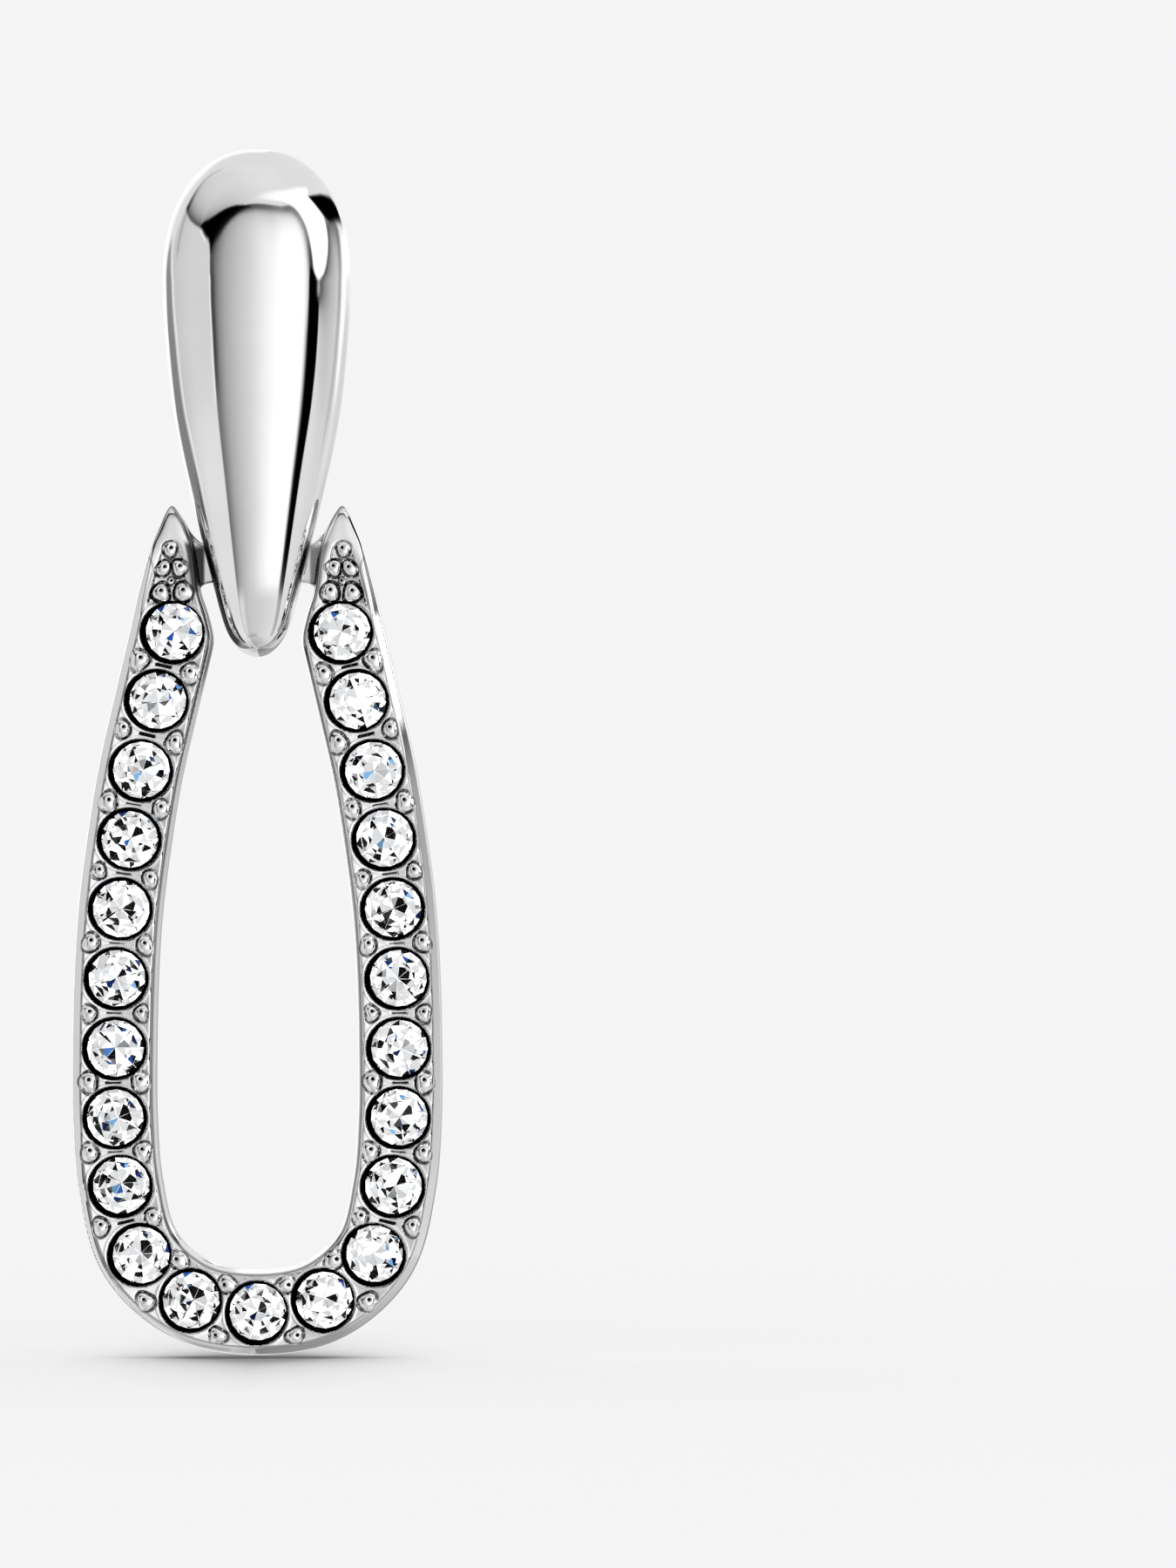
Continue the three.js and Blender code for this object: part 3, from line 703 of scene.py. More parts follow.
def surface_nets(f, xs, ys, zs):
    F = np.empty((len(xs), len(ys), len(zs)), np.float32)
    for i in range(0, len(xs), 16):
        X, Y, Z = np.meshgrid(xs[i:i + 16], ys, zs, indexing="ij")
        F[i:i + 16] = f(X, Y, Z)
    S = F < 0
    nx, ny, nz = F.shape
    corners = [(a, b, c) for a in (0, 1) for b in (0, 1) for c in (0, 1)]
    count = sum(S[a:nx - 1 + a, b:ny - 1 + b, c:nz - 1 + c].astype(np.int8) for a, b, c in corners)
    cell = (count > 0) & (count < 8)
    ci, cj, ck = np.nonzero(cell)
    idx = -np.ones(cell.shape, np.int64)
    idx[ci, cj, ck] = np.arange(len(ci))
    acc = np.zeros((len(ci), 3))
    num = np.zeros(len(ci))
    for a in corners:
        for ax in range(3):
            if a[ax]:
                continue
            b = list(a)
            b[ax] = 1
            fa = F[ci + a[0], cj + a[1], ck + a[2]]
            fb = F[ci + b[0], cj + b[1], ck + b[2]]
            hit = (fa < 0) != (fb < 0)
            t = np.where(hit, fa / np.where(hit, fa - fb, 1), 0)
            pa = np.stack([xs[ci + a[0]], ys[cj + a[1]], zs[ck + a[2]]], 1)
            pb = np.stack([xs[ci + b[0]], ys[cj + b[1]], zs[ck + b[2]]], 1)
            acc += np.where(hit[:, None], pa + t[:, None] * (pb - pa), 0)
            num += hit
    verts = acc / num[:, None]
    quads = []
    shape = (nx, ny, nz)
    for ax in range(3):
        a0, a1 = [slice(None)] * 3, [slice(None)] * 3
        a0[ax], a1[ax] = slice(0, shape[ax] - 1), slice(1, shape[ax])
        A, B = S[tuple(a0)], S[tuple(a1)]
        e = np.nonzero(A != B)
        u, v = [(1, 2), (2, 0), (0, 1)][ax]
        ok = (e[u] > 0) & (e[v] > 0) & (e[u] < shape[u] - 1) & (e[v] < shape[v] - 1)
        e = [x[ok] for x in e]
        inside_first = A[tuple(e)]

        def cell_id(du, dv):
            c = [x.copy() for x in e]
            c[u] = c[u] + du
            c[v] = c[v] + dv
            return idx[tuple(c)]
        q = np.stack([cell_id(-1, -1), cell_id(0, -1), cell_id(0, 0), cell_id(-1, 0)], 1)
        q[~inside_first] = q[~inside_first][:, ::-1]
        quads.append(q)
    return verts, np.vstack(quads)


def gradient(f, v, h=0.004):
    """Four samples at the corners of a tetrahedron."""
    g = np.zeros_like(v)
    for k in np.array([(1, -1, -1), (-1, -1, 1), (-1, 1, -1), (1, 1, 1)], float):
        g += k * f(*(v + h * k).T)[:, None]
    return g / (4 * h)


def onto_surface(f, v, cell, rounds=2):
    for _ in range(rounds):
        g = gradient(f, v)
        step = (f(*v.T) / np.maximum((g * g).sum(1), 0.05))[:, None] * g
        L = np.linalg.norm(step, axis=1, keepdims=True)
        v = v - step * np.minimum(1, 0.5 * cell / np.maximum(L, 1e-12))
    return v


CELL = 0.047
nx = math.ceil(6.1 / CELL)
xs = (np.arange(-nx, nx + 1) + 0.5) * CELL
ys = np.concatenate([np.arange(-0.80, 0.05, CELL * 0.9), np.arange(0.05, 0.95, CELL * 1.8), np.arange(0.95, 1.75, CELL * 1.6)])
zs = np.arange(-35.6, -7.95, CELL)
verts, quads = surface_nets(solid, xs, ys, zs)
verts = onto_surface(solid, verts, CELL)
whole = make_object("loop_whole", verts, quads.tolist())
# only the seats' floors and the flat of the back are thinned
rho = lookup(RHO, verts[:, 0], verts[:, 2])
inset = np.minimum(lookup(D_OUT, verts[:, 0], verts[:, 2]), lookup(D_IN, verts[:, 0], verts[:, 2]))
flat = (verts[:, 1] > BAND["back"] - 0.03) & (inset > 0.45) & (verts[:, 2] < HORN_Z - 0.3)
floor_ = (rho < 0.93) & (verts[:, 1] < 1.1)
side_ = ~flat & ~floor_ & (verts[:, 1] > 0.0) & (verts[:, 1] < BAND["back"] - 0.42) & (verts[:, 2] < HORN_Z - 0.3)
group = whole.vertex_groups.new(name="thin")
group.add(np.nonzero(flat | floor_)[0].tolist(), 1.0, "REPLACE")
group.add(np.nonzero(side_)[0].tolist(), 0.5, "REPLACE")
dec = whole.modifiers.new("thin", "DECIMATE")
dec.ratio = min(1.0, 380000 / (2.0 * len(quads)))
dec.vertex_group = "thin"
dec.vertex_group_factor = 0.002
apply_modifiers(whole)
v = np.empty(len(whole.data.vertices) * 3)
whole.data.vertices.foreach_get("co", v)
v = onto_surface(solid, v.reshape(-1, 3) / MM, CELL, 1)
whole.data.calc_loop_triangles()
tris = np.empty(len(whole.data.loop_triangles) * 3, np.int32)
whole.data.loop_triangles.foreach_get("vertices", tris)
tris = tris.reshape(-1, 3)
bpy.data.objects.remove(whole)

normals = gradient(solid, v, 0.011)
normals /= np.maximum(np.linalg.norm(normals, axis=1, keepdims=True), 1e-9)
even = gradient(solid, v, 0.04)        # walls are smoother than the face's fine work
even /= np.maximum(np.linalg.norm(even, axis=1, keepdims=True), 1e-9)
wall = (smoothstep(0.8, 0.5, np.abs(normals[:, 1])) * smoothstep(-0.42, -0.2, v[:, 1]) + smoothstep(0.6, 0.9, v[:, 1]))[:, None]
normals = normals + (even - normals) * np.clip(wall, 0, 1)
normals /= np.maximum(np.linalg.norm(normals, axis=1, keepdims=True), 1e-9)

flat = (v[:, 1] > BAND["back"] - 0.02) & (np.minimum(lookup(D_OUT, v[:, 0], v[:, 2]), lookup(D_IN, v[:, 0], v[:, 2])) > 0.365) & (v[:, 2] < HORN_Z)
normals[flat] = (0, 1, 0)

# painted shade: an occlusion estimate, taken from the solid a short way out along each normal, darkens creases and
# hollows
ahead = solid(*(v + normals * 0.09).T)
ahead2 = solid(*(v + normals * 0.24).T)
shade = 0.75 * np.clip(1.0 - ahead / 0.09, 0, 1) + 0.45 * np.clip(1.0 - ahead2 / 0.24, 0, 1)
painted_shade = smoothstep(0.30, 1.05, shade)
face_up = smoothstep(-0.1, -0.45, normals[:, 1]) * smoothstep(0.5, 0.2, v[:, 1])
at_v = lambda table: lookup(table, v[:, 0], v[:, 2])
# painted shade from the face's map, where the face looks forward
painted_shade = np.maximum(painted_shade, at_v(DARK) * face_up)
rho = at_v(RHO)
# painted shade: the inside of every seat is made fully dark
in_seat = (rho < SEAT_ALONG + 0.015) & (v[:, 1] > BAND["front"] + 0.05) & (v[:, 1] < BAND["front"] + 1.2)
painted_shade = np.where(in_seat, 1.0, painted_shade)
# painted shade on the inner sides of the horns, close behind the stud, much darker on the left than on the right
ax = np.abs(v[:, 0])
inner_side = (np.where(v[:, 0] < 0, smoothstep(-14.8, -13.4, v[:, 2]), smoothstep(-11.5, -11.1, v[:, 2])) * smoothstep(-8.7, -9.2, v[:, 2]) * smoothstep(-0.25, -0.6, normals[:, 0] * np.sign(v[:, 0]))
              * smoothstep(2.6, 2.3, ax) * smoothstep(-0.45, -0.35, v[:, 1]))
painted_shade = np.maximum(painted_shade, np.where(v[:, 0] < 0, 0.9, 0.35) * inner_side)
# painted shadow on the crossbar's flared ends, in the corner behind the horns, darker on the left
left = v[:, 0] < 0
corner = (smoothstep(1.64, 1.72, ax) * smoothstep(2.5, 2.3, ax) * smoothstep(-9.3, -9.6, v[:, 2]) * smoothstep(-11.3, -11.0, v[:, 2])
          * smoothstep(0.05, 0.15, v[:, 1]) * smoothstep(-0.3, -0.6, normals[:, 1]))
painted_shade = np.maximum(painted_shade, corner * np.where(left, 0.95, 0.74))
# painted shade in a strip along the inner edge beside the crossbar, darker on the left
strip = (smoothstep(0.27, 0.17, at_v(D_IN)) * smoothstep(-9.25, -9.5, v[:, 2]) * smoothstep(-11.15, -10.9, v[:, 2])
         * smoothstep(0.2, 0.1, v[:, 1]) * smoothstep(0.9, 1.15, at_v(BEAD_Q)))
painted_shade = np.maximum(painted_shade, strip * np.where(left, 0.93, 0.62))
# painted shade along the crossbar's upper edge between the horns, darker on the left
ridge = (smoothstep(0.16, 0.10, at_v(DB)) * smoothstep(-9.8, -9.6, v[:, 2]) * smoothstep(2.7, 2.5, ax) * smoothstep(0.25, 0.4, v[:, 1])
         * smoothstep(-0.02, 0.02, -at_v(D_IN)))
painted_shade = np.maximum(painted_shade, ridge * np.where(left, 0.93, 0.5))
# painted shade on the very tips of the horns, along their inner edges, and along the outer edge much more on the left
cap = smoothstep(-9.5, -8.6, v[:, 2])
painted_shade = np.maximum(painted_shade, cap * smoothstep(0.15, 0.04, at_v(D_IN)) * 0.62)
painted_shade = np.maximum(painted_shade, cap * smoothstep(0.12, 0.03, at_v(D_OUT)) * np.where(left, 0.5, 0.1))
plain = 1 - smoothstep(-10.3, -8.9, v[:, 2])
notes = dict(painted_shade=painted_shade, face=face_up, seat=rho, bead=at_v(BEAD_Q), pit=at_v(PIT_Q), slot=at_v(SLOT_Q),
             edge_out=at_v(D_OUT) + (1 - plain), edge_in=at_v(D_IN) + (1 - plain))

loops = []
right = v[tris, 0].mean(axis=1) > 0
for name, mine in (("loop_setting_right", right), ("loop_setting_left", ~right)):
    used, index = np.unique(tris[mine], return_inverse=True)
    ob = make_object(name, v[used], index.reshape(-1, 3).tolist(), normals=normals[used])
    for key, value in notes.items():
        at = ob.data.attributes.new(key, "FLOAT", "POINT")
        at.data.foreach_set("value", value[used].astype(np.float32))
    ob.data.materials.append(MAT_LOOP)
    loops.append(ob)
    print("LOOP_TRIS", name, 2 * len(quads), "->", len(index) // 3 if index.ndim == 1 else len(index))


# ------------------------------------------------------------------ crystals
TABLE_R, CROWN_H, GIRDLE_H, PAV_H = 0.56, 0.28, 0.05, 0.78


def crystal_mesh(name, uneven):
    """Round brilliant chaton, axis along Y, table towards -Y, girdle's upper edge at y = 0; cut a little unevenly."""
    def p(r, y, k, off=0.0):
        a = 2 * math.pi * k / 16
        return ((r * math.cos(a) + off * uneven.normal()) * MM, (y + off * uneven.normal()) * MM, (r * math.sin(a) + off * uneven.normal()) * MM)
    v = []
    table = [len(v) + i for i in range(8)]
    v += [p(TABLE_R, -CROWN_H, 2 * i) for i in range(8)]
    mid = [len(v) + i for i in range(8)]
    rm = TABLE_R * 0.42 + GIRDLE_R * 0.58
    v += [p(rm, -CROWN_H * 0.49, 2 * i + 1, 0.006) for i in range(8)]
    g0 = [len(v) + i for i in range(16)]
    v += [p(GIRDLE_R, 0, i) for i in range(16)]
    g1 = [len(v) + i for i in range(16)]
    v += [p(GIRDLE_R, GIRDLE_H, i) for i in range(16)]
    pav = [len(v) + i for i in range(8)]
    rp = GIRDLE_R * 0.70
    v += [p(rp, GIRDLE_H + PAV_H * 0.325, 2 * i + 1, 0.010) for i in range(8)]
    cul = [len(v) + i for i in range(8)]
    cx, cz = 0.028 * uneven.normal(), 0.028 * uneven.normal()
    v += [(a + cx * MM, b, c + cz * MM) for a, b, c in (p(0.02, GIRDLE_H + PAV_H, 2 * i) for i in range(8))]
    f, foil = [], []
    f.append(tuple(table))
    for i in range(8):
        j = (i + 1) % 8
        f.append((table[i], mid[i], table[j]))                       # star
        f.append((table[j], mid[i], g0[(2 * i + 2) % 16], mid[j]))  # kite
        f.append((mid[i], g0[2 * i], g0[2 * i + 1]))
        f.append((mid[i], g0[2 * i + 1], g0[(2 * i + 2) % 16]))
    for i in range(16):
        j = (i + 1) % 16
        f.append((g0[i], g1[i], g1[j], g0[j]))
    glass_count = len(f)
    for i in range(8):
        j = (i + 1) % 8
        f.append((g1[2 * i], pav[i], g1[2 * i + 1]))
        f.append((g1[2 * i + 1], pav[i], g1[(2 * i + 2) % 16]))
        f.append((pav[i], cul[j], pav[j], g1[(2 * i + 2) % 16]))
    for i in range(8):
        f.append((pav[i], cul[i], cul[(i + 1) % 8]))
    f.append(tuple(cul))
    me = bpy.data.meshes.new(name)
    me.from_pydata(v, [], f)
    me.update()
    bm = bmesh.new()
    bm.from_mesh(me)
    bmesh.ops.recalc_face_normals(bm, faces=bm.faces)
    bm.to_mesh(me)
    bm.free()
    me.materials.append(MAT_GLASS)
    me.materials.append(MAT_FOIL)
    for k, poly in enumerate(me.polygons):
        poly.material_index = 0 if k < glass_count else 1
    return me


rng = np.random.default_rng(23)
for k in range(len(FULL_ROW)):
    p, n, t = row_at(k / GAPS)
    ob = bpy.data.objects.new(f"stone_{k + 1:02d}", crystal_mesh(f"stone_{k + 1:02d}", rng))
    scene.collection.objects.link(ob)
    spin, ta, tb = rng.uniform(0, 45), rng.uniform(-3.0, 3.0), rng.uniform(-3.0, 3.0)
    p = p + np.array([0.030, 0.018]) + rng.uniform(-0.022, 0.022, 2)
    m = (Matrix.Translation(Vector((p[0] * MM, (BAND["front"] + 0.03) * MM, p[1] * MM)))
         @ Matrix.Rotation(math.radians(ta), 4, "X") @ Matrix.Rotation(math.radians(tb), 4, "Z")
         @ Matrix.Rotation(math.radians(spin), 4, "Y"))
    ob.data.transform(m)
    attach(ob, "drop")
    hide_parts(f"crystal_{k + 1:02d}")


# ------------------------------------------------------------------ the post
def build_post():
    prof = [(0.0, -1.04), (0.4, -1.04), (0.4, 8.35), (0.385, 8.42), (0.33, 8.5), (0.325, 8.62), (0.33, 8.74),
            (0.385, 8.82), (0.4, 8.9), (0.4, 10.05), (0.385, 10.2), (0.34, 10.36), (0.26, 10.49), (0.14, 10.57), (0.0, 10.6)]
    segs = 40
    verts, faces = [], []
    for i in range(segs):
        a = 2 * math.pi * i / segs
        for r, y in prof[1:-1]:
            verts.append((r * math.cos(a), y, r * math.sin(a)))
    m = len(prof) - 2
    a, b = len(verts), len(verts) + 1
    verts += [(0, prof[0][1], 0), (0, prof[-1][1], 0)]
    for i in range(segs):
        j = (i + 1) % segs
        for k in range(m - 1):
            faces.append((i * m + k, i * m + k + 1, j * m + k + 1, j * m + k))
        faces.append((a, i * m, j * m))
        faces.append((b, j * m + m - 1, i * m + m - 1))
    ob = make_object("post_wire", verts, faces)
    fix_normals(ob)
    smooth_by_angle(ob, 40)
    ob.data.materials.append(MAT_POST)
    return ob


post = build_post()
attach(post, "stud")
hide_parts("ear_post")
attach(stud, "stud")
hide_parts("teardrop_stud")
for ob in loops:
    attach(ob, "drop")
    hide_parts("knocker_loop")


# ------------------------------------------------------------------ studio: floor, light, tent
FLOOR_Z = -35.42
DIST = 330.0
PX = 36.0
CENTRE = ((675 - 294.5) / PX, (285 - 900) / PX)   # what the frame's middle looks at, x and z in mm
PAPER, SKY = 0.80, 1.03                         # floor's reflectance, and the soft light from all round
OPEN = float(srgb(244.6))                       # brightness of open floor and backdrop alike

floor = make_object("floor_plane", [(-4000, -3000, FLOOR_Z), (4000, -3000, FLOOR_Z), (4000, 9000, FLOOR_Z), (-4000, 9000, FLOOR_Z)],
                    [(0, 1, 2, 3)], smooth=False)
fm, nt, b = node_material("paper_white")
tex = add(nt, "ShaderNodeTexCoord")
nz = add(nt, "ShaderNodeTexNoise")
nz.inputs["Scale"].default_value = 60.0
nt.links.new(tex.outputs["Object"], nz.inputs["Vector"])
rp = add(nt, "ShaderNodeValToRGB")
rp.color_ramp.elements[0].color = (PAPER * 0.998,) * 3 + (1,)
rp.color_ramp.elements[1].color = (PAPER * 1.002,) * 3 + (1,)
nt.links.new(nz.outputs["Fac"], rp.inputs["Fac"])
# painted contact shadow: the paper is darkened close under the earring by a strengthened occlusion term, less so to the
# sides, and a little brightened further out to the sides
def sum_up(how, x, y, clamp=False):
    node = add(nt, "ShaderNodeMath", operation=how, use_clamp=clamp)
    for socket, q in zip(node.inputs, (x, y)):
        if isinstance(q, float):
            socket.default_value = q
        else:
            nt.links.new(q, socket)
    return node.outputs["Value"]


close = add(nt, "ShaderNodeAmbientOcclusion", samples=24)
close.inputs["Distance"].default_value = 0.019
place = add(nt, "ShaderNodeSeparateXYZ")
nt.links.new(tex.outputs["Object"], place.inputs["Vector"])
aside = sum_up("MULTIPLY", sum_up("ABSOLUTE", place.outputs["X"], 0.0), 1 / 0.0064)
aside = sum_up("POWER", sum_up("SUBTRACT", 1.0, aside, clamp=True), 1.6)
aside = sum_up("SUBTRACT", sum_up("MULTIPLY", aside, 2.05), 0.42)
shut = sum_up("MULTIPLY", sum_up("SUBTRACT", 1.0, close.outputs["AO"]), aside)
chain = sum_up("SUBTRACT", 1.0, sum_up("MINIMUM", shut, 0.5))
toned = add(nt, "ShaderNodeVectorMath", operation="SCALE")
nt.links.new(rp.outputs["Color"], toned.inputs[0])
nt.links.new(chain, toned.inputs["Scale"])
nt.links.new(toned.outputs["Vector"], b.inputs["Base Color"])
b.inputs["Roughness"].default_value = 1.0
b.inputs["Specular IOR Level"].default_value = 0.0
floor.data.materials.append(fm)
floor.visible_glossy = False
floor.visible_transmission = False

world = bpy.data.worlds.new("studio")
scene.world = world
world.use_nodes = True
nt = world.node_tree
bg = nt.nodes["Background"]
path = add(nt, "ShaderNodeLightPath")
level = add(nt, "ShaderNodeMapRange")
level.inputs["To Min"].default_value = SKY
level.inputs["To Max"].default_value = OPEN
nt.links.new(path.outputs["Is Camera Ray"], level.inputs["Value"])
nt.links.new(level.outputs["Result"], bg.inputs["Strength"])
bg.inputs["Color"].default_value = (1, 1, 1, 1)

# most of the light comes from all round, and a little from a broad lamp overhead
key = bpy.data.lights.new("top_soft", "SUN")
key.energy = math.pi * (OPEN / PAPER - SKY)
key.angle = math.radians(70)
key_ob = bpy.data.objects.new("top_soft", key)
key_ob.visible_glossy = False
key_ob.visible_transmission = False
scene.collection.objects.link(key_ob)


# Light tent: seen only in reflections. Its panels are given by azimuth (0 = straight in front of the stud,
# positive to the right) and elevation, in degrees.
def poly_mask(az, el, pts, soft):
    d, inside = segment_distance(az, el, pts, closed=True)
    return smoothstep(-soft, soft, np.where(inside, d, -d))


def line_mask(az, el, pts, half, soft):
    d, _ = segment_distance(az, el, pts, closed=False)
    return 1 - smoothstep(half - soft, half + soft, d)


def tent_grey(az, el):
    mix = lambda g, m, v: g * (1 - m) + v * m
    # paper overhead, duller towards its lower edge on the left
    g = 221.0 + 3 * smoothstep(60, 80, el)
    edge = np.interp(az, [-123, -120, -78, -72, -66, -60, -52, -45, -38, -30, -20, -12, 0, 40],
                     [24.6, 24.6, 25.4, 29, 32, 35.5, 40, 43.5, 46, 48, 49.2, 50, 51, 46])
    h = np.clip(el - edge, 0, 90)
    near = np.interp(az, [-122, -80, -60, -40, 0], [103, 100, 45, 20, 0])
    far = np.interp(az, [-122, -70, -50, -30, 0, 30], [49, 45, 30, 18, 8, 0])
    g = g - (near * np.exp(-h / 4) + far * np.exp(-h / 18)) * smoothstep(-128, -120, az) * (el > edge - 2)
    # its rear left corner folds down
    fold, _ = segment_distance(az, el, [(-121, 26), (-124, 31), (-127, 36), (-131, 43), (-134, 52)], closed=False)
    g = g - np.interp(el, [24, 30, 36, 42, 50, 60], [62, 78, 55, 38, 22, 8]) * np.exp(-(fold / 4.2) ** 2)
    # bright sheet behind, to the left; dull below
    g = mix(g, smoothstep(-138, -153, az) * smoothstep(40, 26, el) * smoothstep(-46, -34, el), 250.0)
    g = mix(g, smoothstep(-130, -140, az) * smoothstep(-10, -16, el) * smoothstep(-46, -34, el), 250.0)
    low = np.interp(az, [-180, -150, -130, -60, -45, -37, -28, -18, 0, 30, 60, 90, 105, 115, 125, 135, 180],
                    [222, 222, 224, 228, 229, 214, 192, 200, 205, 214, 222, 219, 214, 200, 176, 160, 160])
    below = el + 29.6 * np.cos(np.radians(az) / 2)
    deep = smoothstep(0.9, -1.6, below)
    g = mix(g, smoothstep(3, -5, below), low)
    g = g - np.where(el < 0, 30 * smoothstep(-50, -82, el), 0)
    # overhead panel's bright right wing, down to a point between the front and right panels
    wing = [(-20, 54), (0, 55.5), (18, 54.5), (35, 52.5), (47, 50), (56, 46.5), (63, 41.4), (67.5, 35), (70, 28), (71.5, 20), (72.9, 12),
            (74.2, 6), (76, 3.2), (78.5, 1.4), (81, 0.6), (85, 1.2), (90, 2.9), (95.5, 5.8), (101, 10), (106, 15), (109, 20), (110, 24), (107, 29),
            (103.5, 35), (101, 41), (106, 43), (116, 44), (116, 70), (-20, 70)]
    top = np.interp(az, [0, 12, 30, 45, 63, 81, 94, 103, 116], [61, 64, 64, 63.5, 61, 58, 55, 51, 45])
    m = poly_mask(az, el, wing, 1.3) * smoothstep(top + 2, top - 5, el) * np.interp(az, [-8, 5, 20, 35, 60, 70], [0, 0.3, 0.62, 0.8, 0.92, 1])
    g = mix(g, m, 262.0)
    # left panel, with a bright edge under the dark gap
    left = [(-124, 24.3), (-100, 24.4), (-78, 24.6), (-72, 23), (-66, 20.8), (-61, 20), (-57.5, 17), (-57, 10), (-56, 5),
            (-54.8, 0), (-54, -6), (-53.5, -12), (-53, -25), (-52, -34), (-84, -34), (-85, -27), (-100, -19), (-112, -13),
            (-119, -6), (-125, 1), (-128, 12)]
    tone = 199 + 10 * smoothstep(-120, -85, az) + 14 * smoothstep(-5, -20, el)
    g = mix(g, poly_mask(az, el, left, 1.2), tone)
    crease, _ = segment_distance(az, el, [(-118.5, 24), (-116.5, 18), (-116, 11)], closed=False)
    g = g - 30 * np.exp(-(crease / 3) ** 2) * (el < 24.4)
    # left rear flag
    flag = [(-147, 4), (-143, 8.5), (-136, 9), (-131, 4.5), (-126, -1.5), (-120, -8), (-113, -14), (-105, -18.5), (-97, -21.5),
            (-86, -24.5), (-81, -36), (-80, -62), (-128, -62), (-124, -36), (-127, -22), (-133, -14.5), (-143, -10.5), (-150, -4)]
    g = mix(g, poly_mask(az, el, flag, 2.4), np.interp(el, [-42, -32, -24, -15, -11.5, 0, 8], [30, 60, 22, 4, 124, 132, 150]))
    g = mix(g, line_mask(az, el, [(-128, 6), (-124, 2), (-119, -3.5), (-114, -9.5), (-108, -15)], 1.0, 1.0), 236.0)
    # front panel: brighter to the right, dull along its soft dark rim
    front = [(-48, -60), (-50, -35), (-51.5, -20), (-51.8, -12), (-52.6, -6), (-53.6, 0), (-54.6, 5), (-55.6, 12), (-56, 19), (-50.5, 25.5),
             (-44, 33), (-36, 40), (-28, 45), (-20, 48), (-10, 50.3), (0, 51), (10, 50.6), (20, 49.6), (30, 48.2), (40, 46.6), (50, 46),
             (56, 45), (61, 42.2), (65, 38), (68, 33), (70.2, 27), (71.4, 20), (72.3, 12), (73, 5), (73.5, 0), (70, -12),
             (68, -30), (62, -60)]
    d, inside = segment_distance(az, el, front, closed=True)
    base = np.interp(az, [-50, -45, -40, -35, -30, -25, -20, -15, -10, -5, 0, 5, 10, 15, 20, 27, 35, 56, 61, 66],
                     [112, 130, 152, 168, 178, 186, 194, 201, 207, 214, 224, 234, 242, 248, 254, 262, 268, 266, 250, 240])
    under = np.clip(np.interp(az, [-50, -36, -20, 0, 20, 40, 50, 62], [24, 41, 48, 50, 47, 43, 41, 36]) - el, 0, 60)
    base = base - np.interp(az, [-40, -20, 0, 20, 40, 60], [70, 90, 110, 100, 90, 80]) * np.exp(-under / np.interp(az, [-20, 0, 20, 40, 60], [5.5, 6.5, 12, 9, 7]))
    rim_top = np.interp(az, [-60, -30, -24, -12, 0, 20, 38, 50, 58, 65], [40, 4, 20, 66, 90, 106, 132, 112, 124, 148])
    rim_right = np.interp(el, [-12, -2, 4, 10, 20, 32], [2, 12, 40, 70, 132, 150])
    rim_left = np.interp(el, [-28, -16, -8, 0, 10, 19], [178, 140, 66, 68, 78, 40])
    rim = rim_top + (rim_right - rim_top) * smoothstep(54, 62, az) * smoothstep(37, 32, el)
    rim = rim + (rim_left - rim) * smoothstep(-30, -40, az) * smoothstep(24, 19, el)
    wide = np.interp(az, [-50, -44, 45, 60], [3.2, 3.6, 3.6, 4.6])
    fall = np.exp(-(np.clip(d - 2.2, 0, 90) / wide) ** 2)
    shade = base * (1 - fall) + np.minimum(rim, base) * fall
    shade = mix(shade, deep, np.where(az > 62, 178, low) - 34 * fall * (az < 0))
    g = mix(g, smoothstep(-1.3, 1.3, np.where(inside, d, -d)), shade)
    # dark gap at the upper left
    arc = [(-79, 25.4), (-72, 23.2), (-66, 21), (-61, 20), (-57.5, 17), (-55.5, 13), (-53, 18), (-50, 23), (-46, 28.5), (-42, 32.8),
           (-37, 37.5), (-32, 41), (-26, 44), (-20, 45.8), (-8, 48.0), (-20, 48.9), (-30, 48), (-38, 46), (-45, 43.5), (-52, 40),
           (-60, 35.5), (-68, 31.2), (-75, 28.6)]
    g = mix(g, poly_mask(az, el, arc, 1.8), 1.0)
    g = mix(g, line_mask(az, el, [(-77, 23), (-72, 21.2), (-66, 19)], 0.7, 0.8), 240.0)
    g = mix(g, line_mask(az, el, [(-55.4, 2), (-54.6, -4), (-54, -12)], 0.6, 0.8), 246.0)
    # right flags
    slot = [(68, 5.5), (71, 5.6), (73.4, 5.2), (75.4, 3.4), (78, 1.6), (81, 0.6), (84, 0.2), (86, -1.4), (85, -4.5), (82, -8.5), (79.6, -15),
            (77, -21), (75.2, -27), (75, -50), (68, -50), (68, -22), (67, -10), (66.8, -1)]
    g = mix(g, poly_mask(az, el, slot, 1.2), 1.0 + 165 * deep)
